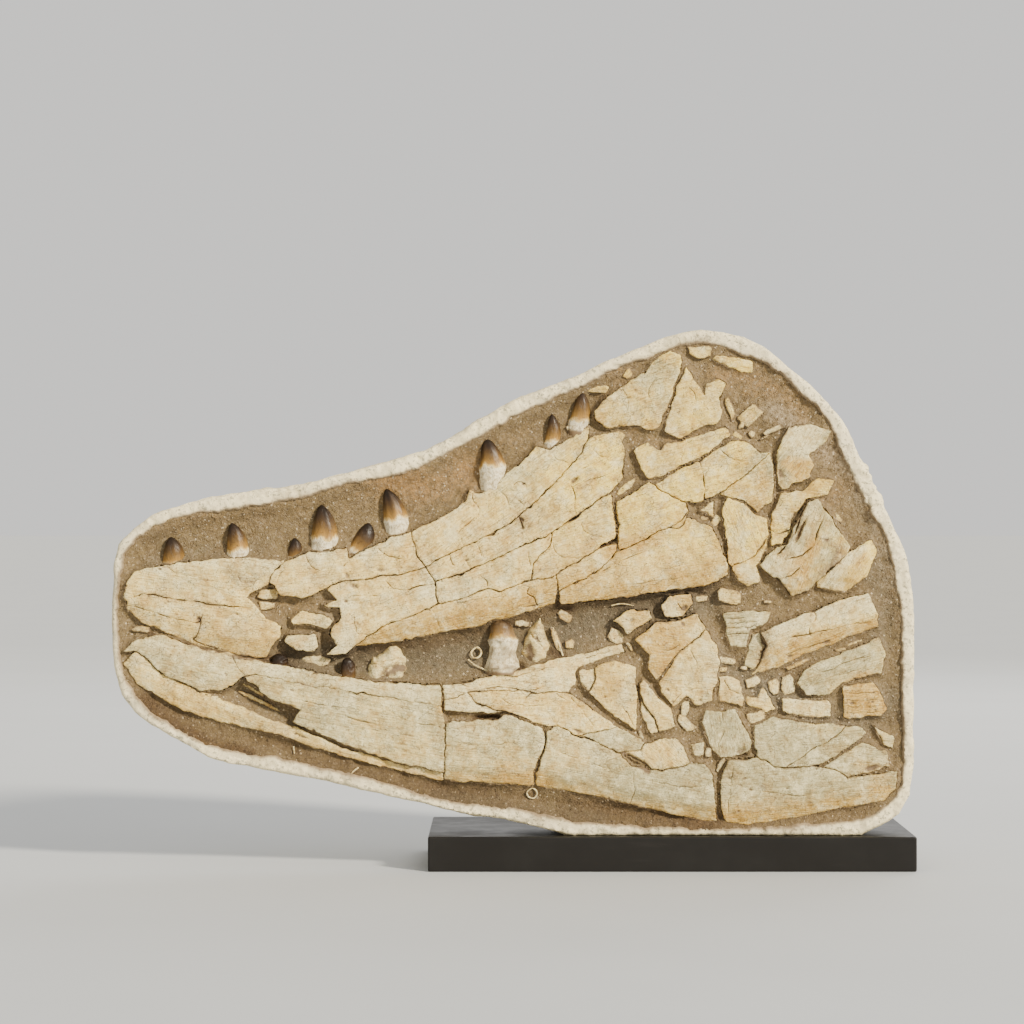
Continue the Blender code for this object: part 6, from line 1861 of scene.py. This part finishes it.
class FossilJawSettings(bpy.types.PropertyGroup):
    """Sizes and colours of the fossil jaw."""

    crack_gap: length_property(
        "Crack gap", "Width by which neighbouring plates stay apart", 0.0003, 0.0, 0.002)
    bone_step: length_property(
        "Bone detail", "Spacing of the places that shape a plate's face", 0.0016, 0.0008, 0.01)
    outline_step: length_property(
        "Outline detail", "Spacing of the places along a plate's edge", 0.0012, 0.0005, 0.01)
    matrix_step: length_property(
        "Matrix detail", "Spacing of the places that shape the matrix", 0.0017, 0.0008, 0.01)
    plaster_step: length_property(
        "Plaster detail", "Spacing of the places that shape the rim", 0.0019, 0.001, 0.01)
    grit_size: length_property(
        "Grain size", "Radius of a loose grain of middle size", 0.00095, 0.0002, 0.005)
    grit_density: FloatProperty(
        name="Grit density", description="Loose grains per square metre of open matrix",
        default=48000.0, min=0.0, max=100000.0)
    bone_cream: colour_property("Cream bone", "Colour of clean bone", shade(0.98, 0.87, 0.535))
    # The warm colour is partly painted light, used high up on the right
    bone_warm_and_lit: colour_property("Warm bone", "Colour of bone high up", shade(1.0, 0.885, 0.455))
    bone_grey: colour_property("Grey bone", "Colour of greyish bone", shade(0.755, 0.715, 0.53))
    bone_ochre: colour_property("Ochre stain", "Colour of stained bone", shade(0.87, 0.73, 0.37))
    bone_white: colour_property("White bone", "Colour of bleached bone", shade(0.96, 0.90, 0.68))
    soil: colour_property("Soil", "Colour of dirt in the cracks", shade(0.46, 0.375, 0.265))
    matrix_brown: colour_property("Brown matrix", "Colour of the rock", shade(0.49, 0.415, 0.272))
    matrix_grey: colour_property("Grey matrix", "Colour between the jaws",
                                 shade(0.415, 0.375, 0.288))
    matrix_rust: colour_property("Rusty matrix", "Colour of rusty patches",
                                 shade(0.67, 0.515, 0.30))
    plaster: colour_property("Plaster", "Colour of the jacket", shade(0.97, 0.91, 0.725))
    enamel_dark: colour_property("Dark enamel", "Colour of the tips", shade(0.125, 0.095, 0.068))
    enamel_amber: colour_property("Amber enamel", "Colour above the roots", shade(0.64, 0.49, 0.24))
    plinth: colour_property("Plinth", "Colour of the plinth", (0.012, 0.011, 0.010, 1.0))
    floor: colour_property("Floor", "Colour of the floor", shade(0.735, 0.745, 0.75))


class FOSSIL_OT_bones(bpy.types.Operator):
    """Lay the cracked and stained bone plates over their solids"""

    bl_idname = "fossil.bones"
    bl_label = "Bone plates"

    def execute(self, context):
        sizes = context.scene.fossil_jaw
        material = material_for("fossil_bone", bone_material, sizes)
        for number, node in enumerate(BONES):
            lay_bone(node, number, sizes, material)
        return {"FINISHED"}


class FOSSIL_OT_teeth(bpy.types.Operator):
    """Set the fourteen teeth in the jaws"""

    bl_idname = "fossil.teeth"
    bl_label = "Teeth"

    def execute(self, context):
        sizes = context.scene.fossil_jaw
        enamel = material_for("fossil_enamel", enamel_material, sizes)
        for number, tooth in enumerate(TEETH):
            lay_tooth(number, tooth, enamel)
        bone = material_for("fossil_bone", bone_material, sizes)
        for number, root in enumerate(ROOTS):
            lay_root(ROOT_SEED + number, root, bone)
        return {"FINISHED"}


class FOSSIL_OT_matrix(bpy.types.Operator):
    """Fill the jacket with sandy matrix and strew it with grit"""

    bl_idname = "fossil.matrix"
    bl_label = "Matrix"

    def execute(self, context):
        sizes = context.scene.fossil_jaw
        material = material_for("sandy_matrix", matrix_material, sizes)
        ground = lay_matrix(sizes, material)
        scatter_grit(ground, sizes, material)
        return {"FINISHED"}


class FOSSIL_OT_chips(bpy.types.Operator):
    """Lay the loose chips, rings and strands in the matrix"""

    bl_idname = "fossil.chips"
    bl_label = "Chips and strands"

    def execute(self, context):
        material = material_for("fossil_bone", bone_material, context.scene.fossil_jaw)
        lay_chips(material)
        lay_strands(material)
        return {"FINISHED"}


class FOSSIL_OT_jacket(bpy.types.Operator):
    """Wrap the block in its plaster field jacket"""

    bl_idname = "fossil.jacket"
    bl_label = "Plaster jacket"

    def execute(self, context):
        sizes = context.scene.fossil_jaw
        plaster = material_for("weathered_plaster", plaster_material, sizes)
        lay_jacket(sizes, plaster)
        return {"FINISHED"}


class FOSSIL_OT_plinth(bpy.types.Operator):
    """Finish the plinth in satin black"""

    bl_idname = "fossil.plinth"
    bl_label = "Plinth"

    def execute(self, context):
        sizes = context.scene.fossil_jaw
        mesh = frame["nodes"]["stand_plinth"].data
        mesh.materials.clear()
        mesh.materials.append(material_for("painted_plinth", plinth_material, sizes))
        return {"FINISHED"}


class FOSSIL_OT_stage(bpy.types.Operator):
    """Add the floor, the studio light and the camera"""

    bl_idname = "fossil.stage"
    bl_label = "Stage"

    def execute(self, context):
        set_stage(context.scene.fossil_jaw)
        return {"FINISHED"}


OPERATORS = (FOSSIL_OT_bones, FOSSIL_OT_teeth, FOSSIL_OT_matrix, FOSSIL_OT_chips,
             FOSSIL_OT_jacket, FOSSIL_OT_plinth, FOSSIL_OT_stage)


class FOSSIL_PT_panel(bpy.types.Panel):
    """Buttons and settings of the fossil jaw"""

    bl_idname = "FOSSIL_PT_panel"
    bl_label = "Fossil jaw"
    bl_space_type = "VIEW_3D"
    bl_region_type = "UI"
    bl_category = "Fossil"

    def draw(self, context):
        column = self.layout.column()
        for operator in OPERATORS:
            column.operator(operator.bl_idname)
        settings = context.scene.fossil_jaw
        for name in FossilJawSettings.__annotations__:
            column.prop(settings, name)


CLASSES = (FossilJawSettings, *OPERATORS, FOSSIL_PT_panel)


def register():
    for cls in CLASSES:
        bpy.utils.register_class(cls)
    bpy.types.Scene.fossil_jaw = PointerProperty(type=FossilJawSettings)


def unregister():
    del bpy.types.Scene.fossil_jaw
    for cls in reversed(CLASSES):
        bpy.utils.unregister_class(cls)


def main():
    """Build the whole scene with the add-on's own operators."""
    register()
    for run in (bpy.ops.fossil.bones, bpy.ops.fossil.teeth, bpy.ops.fossil.matrix,
                bpy.ops.fossil.chips, bpy.ops.fossil.jacket, bpy.ops.fossil.plinth,
                bpy.ops.fossil.stage):
        if run() != {"FINISHED"}:
            raise RuntimeError("a piece of the fossil wasn't finished")


if __name__ == "__main__":
    main()
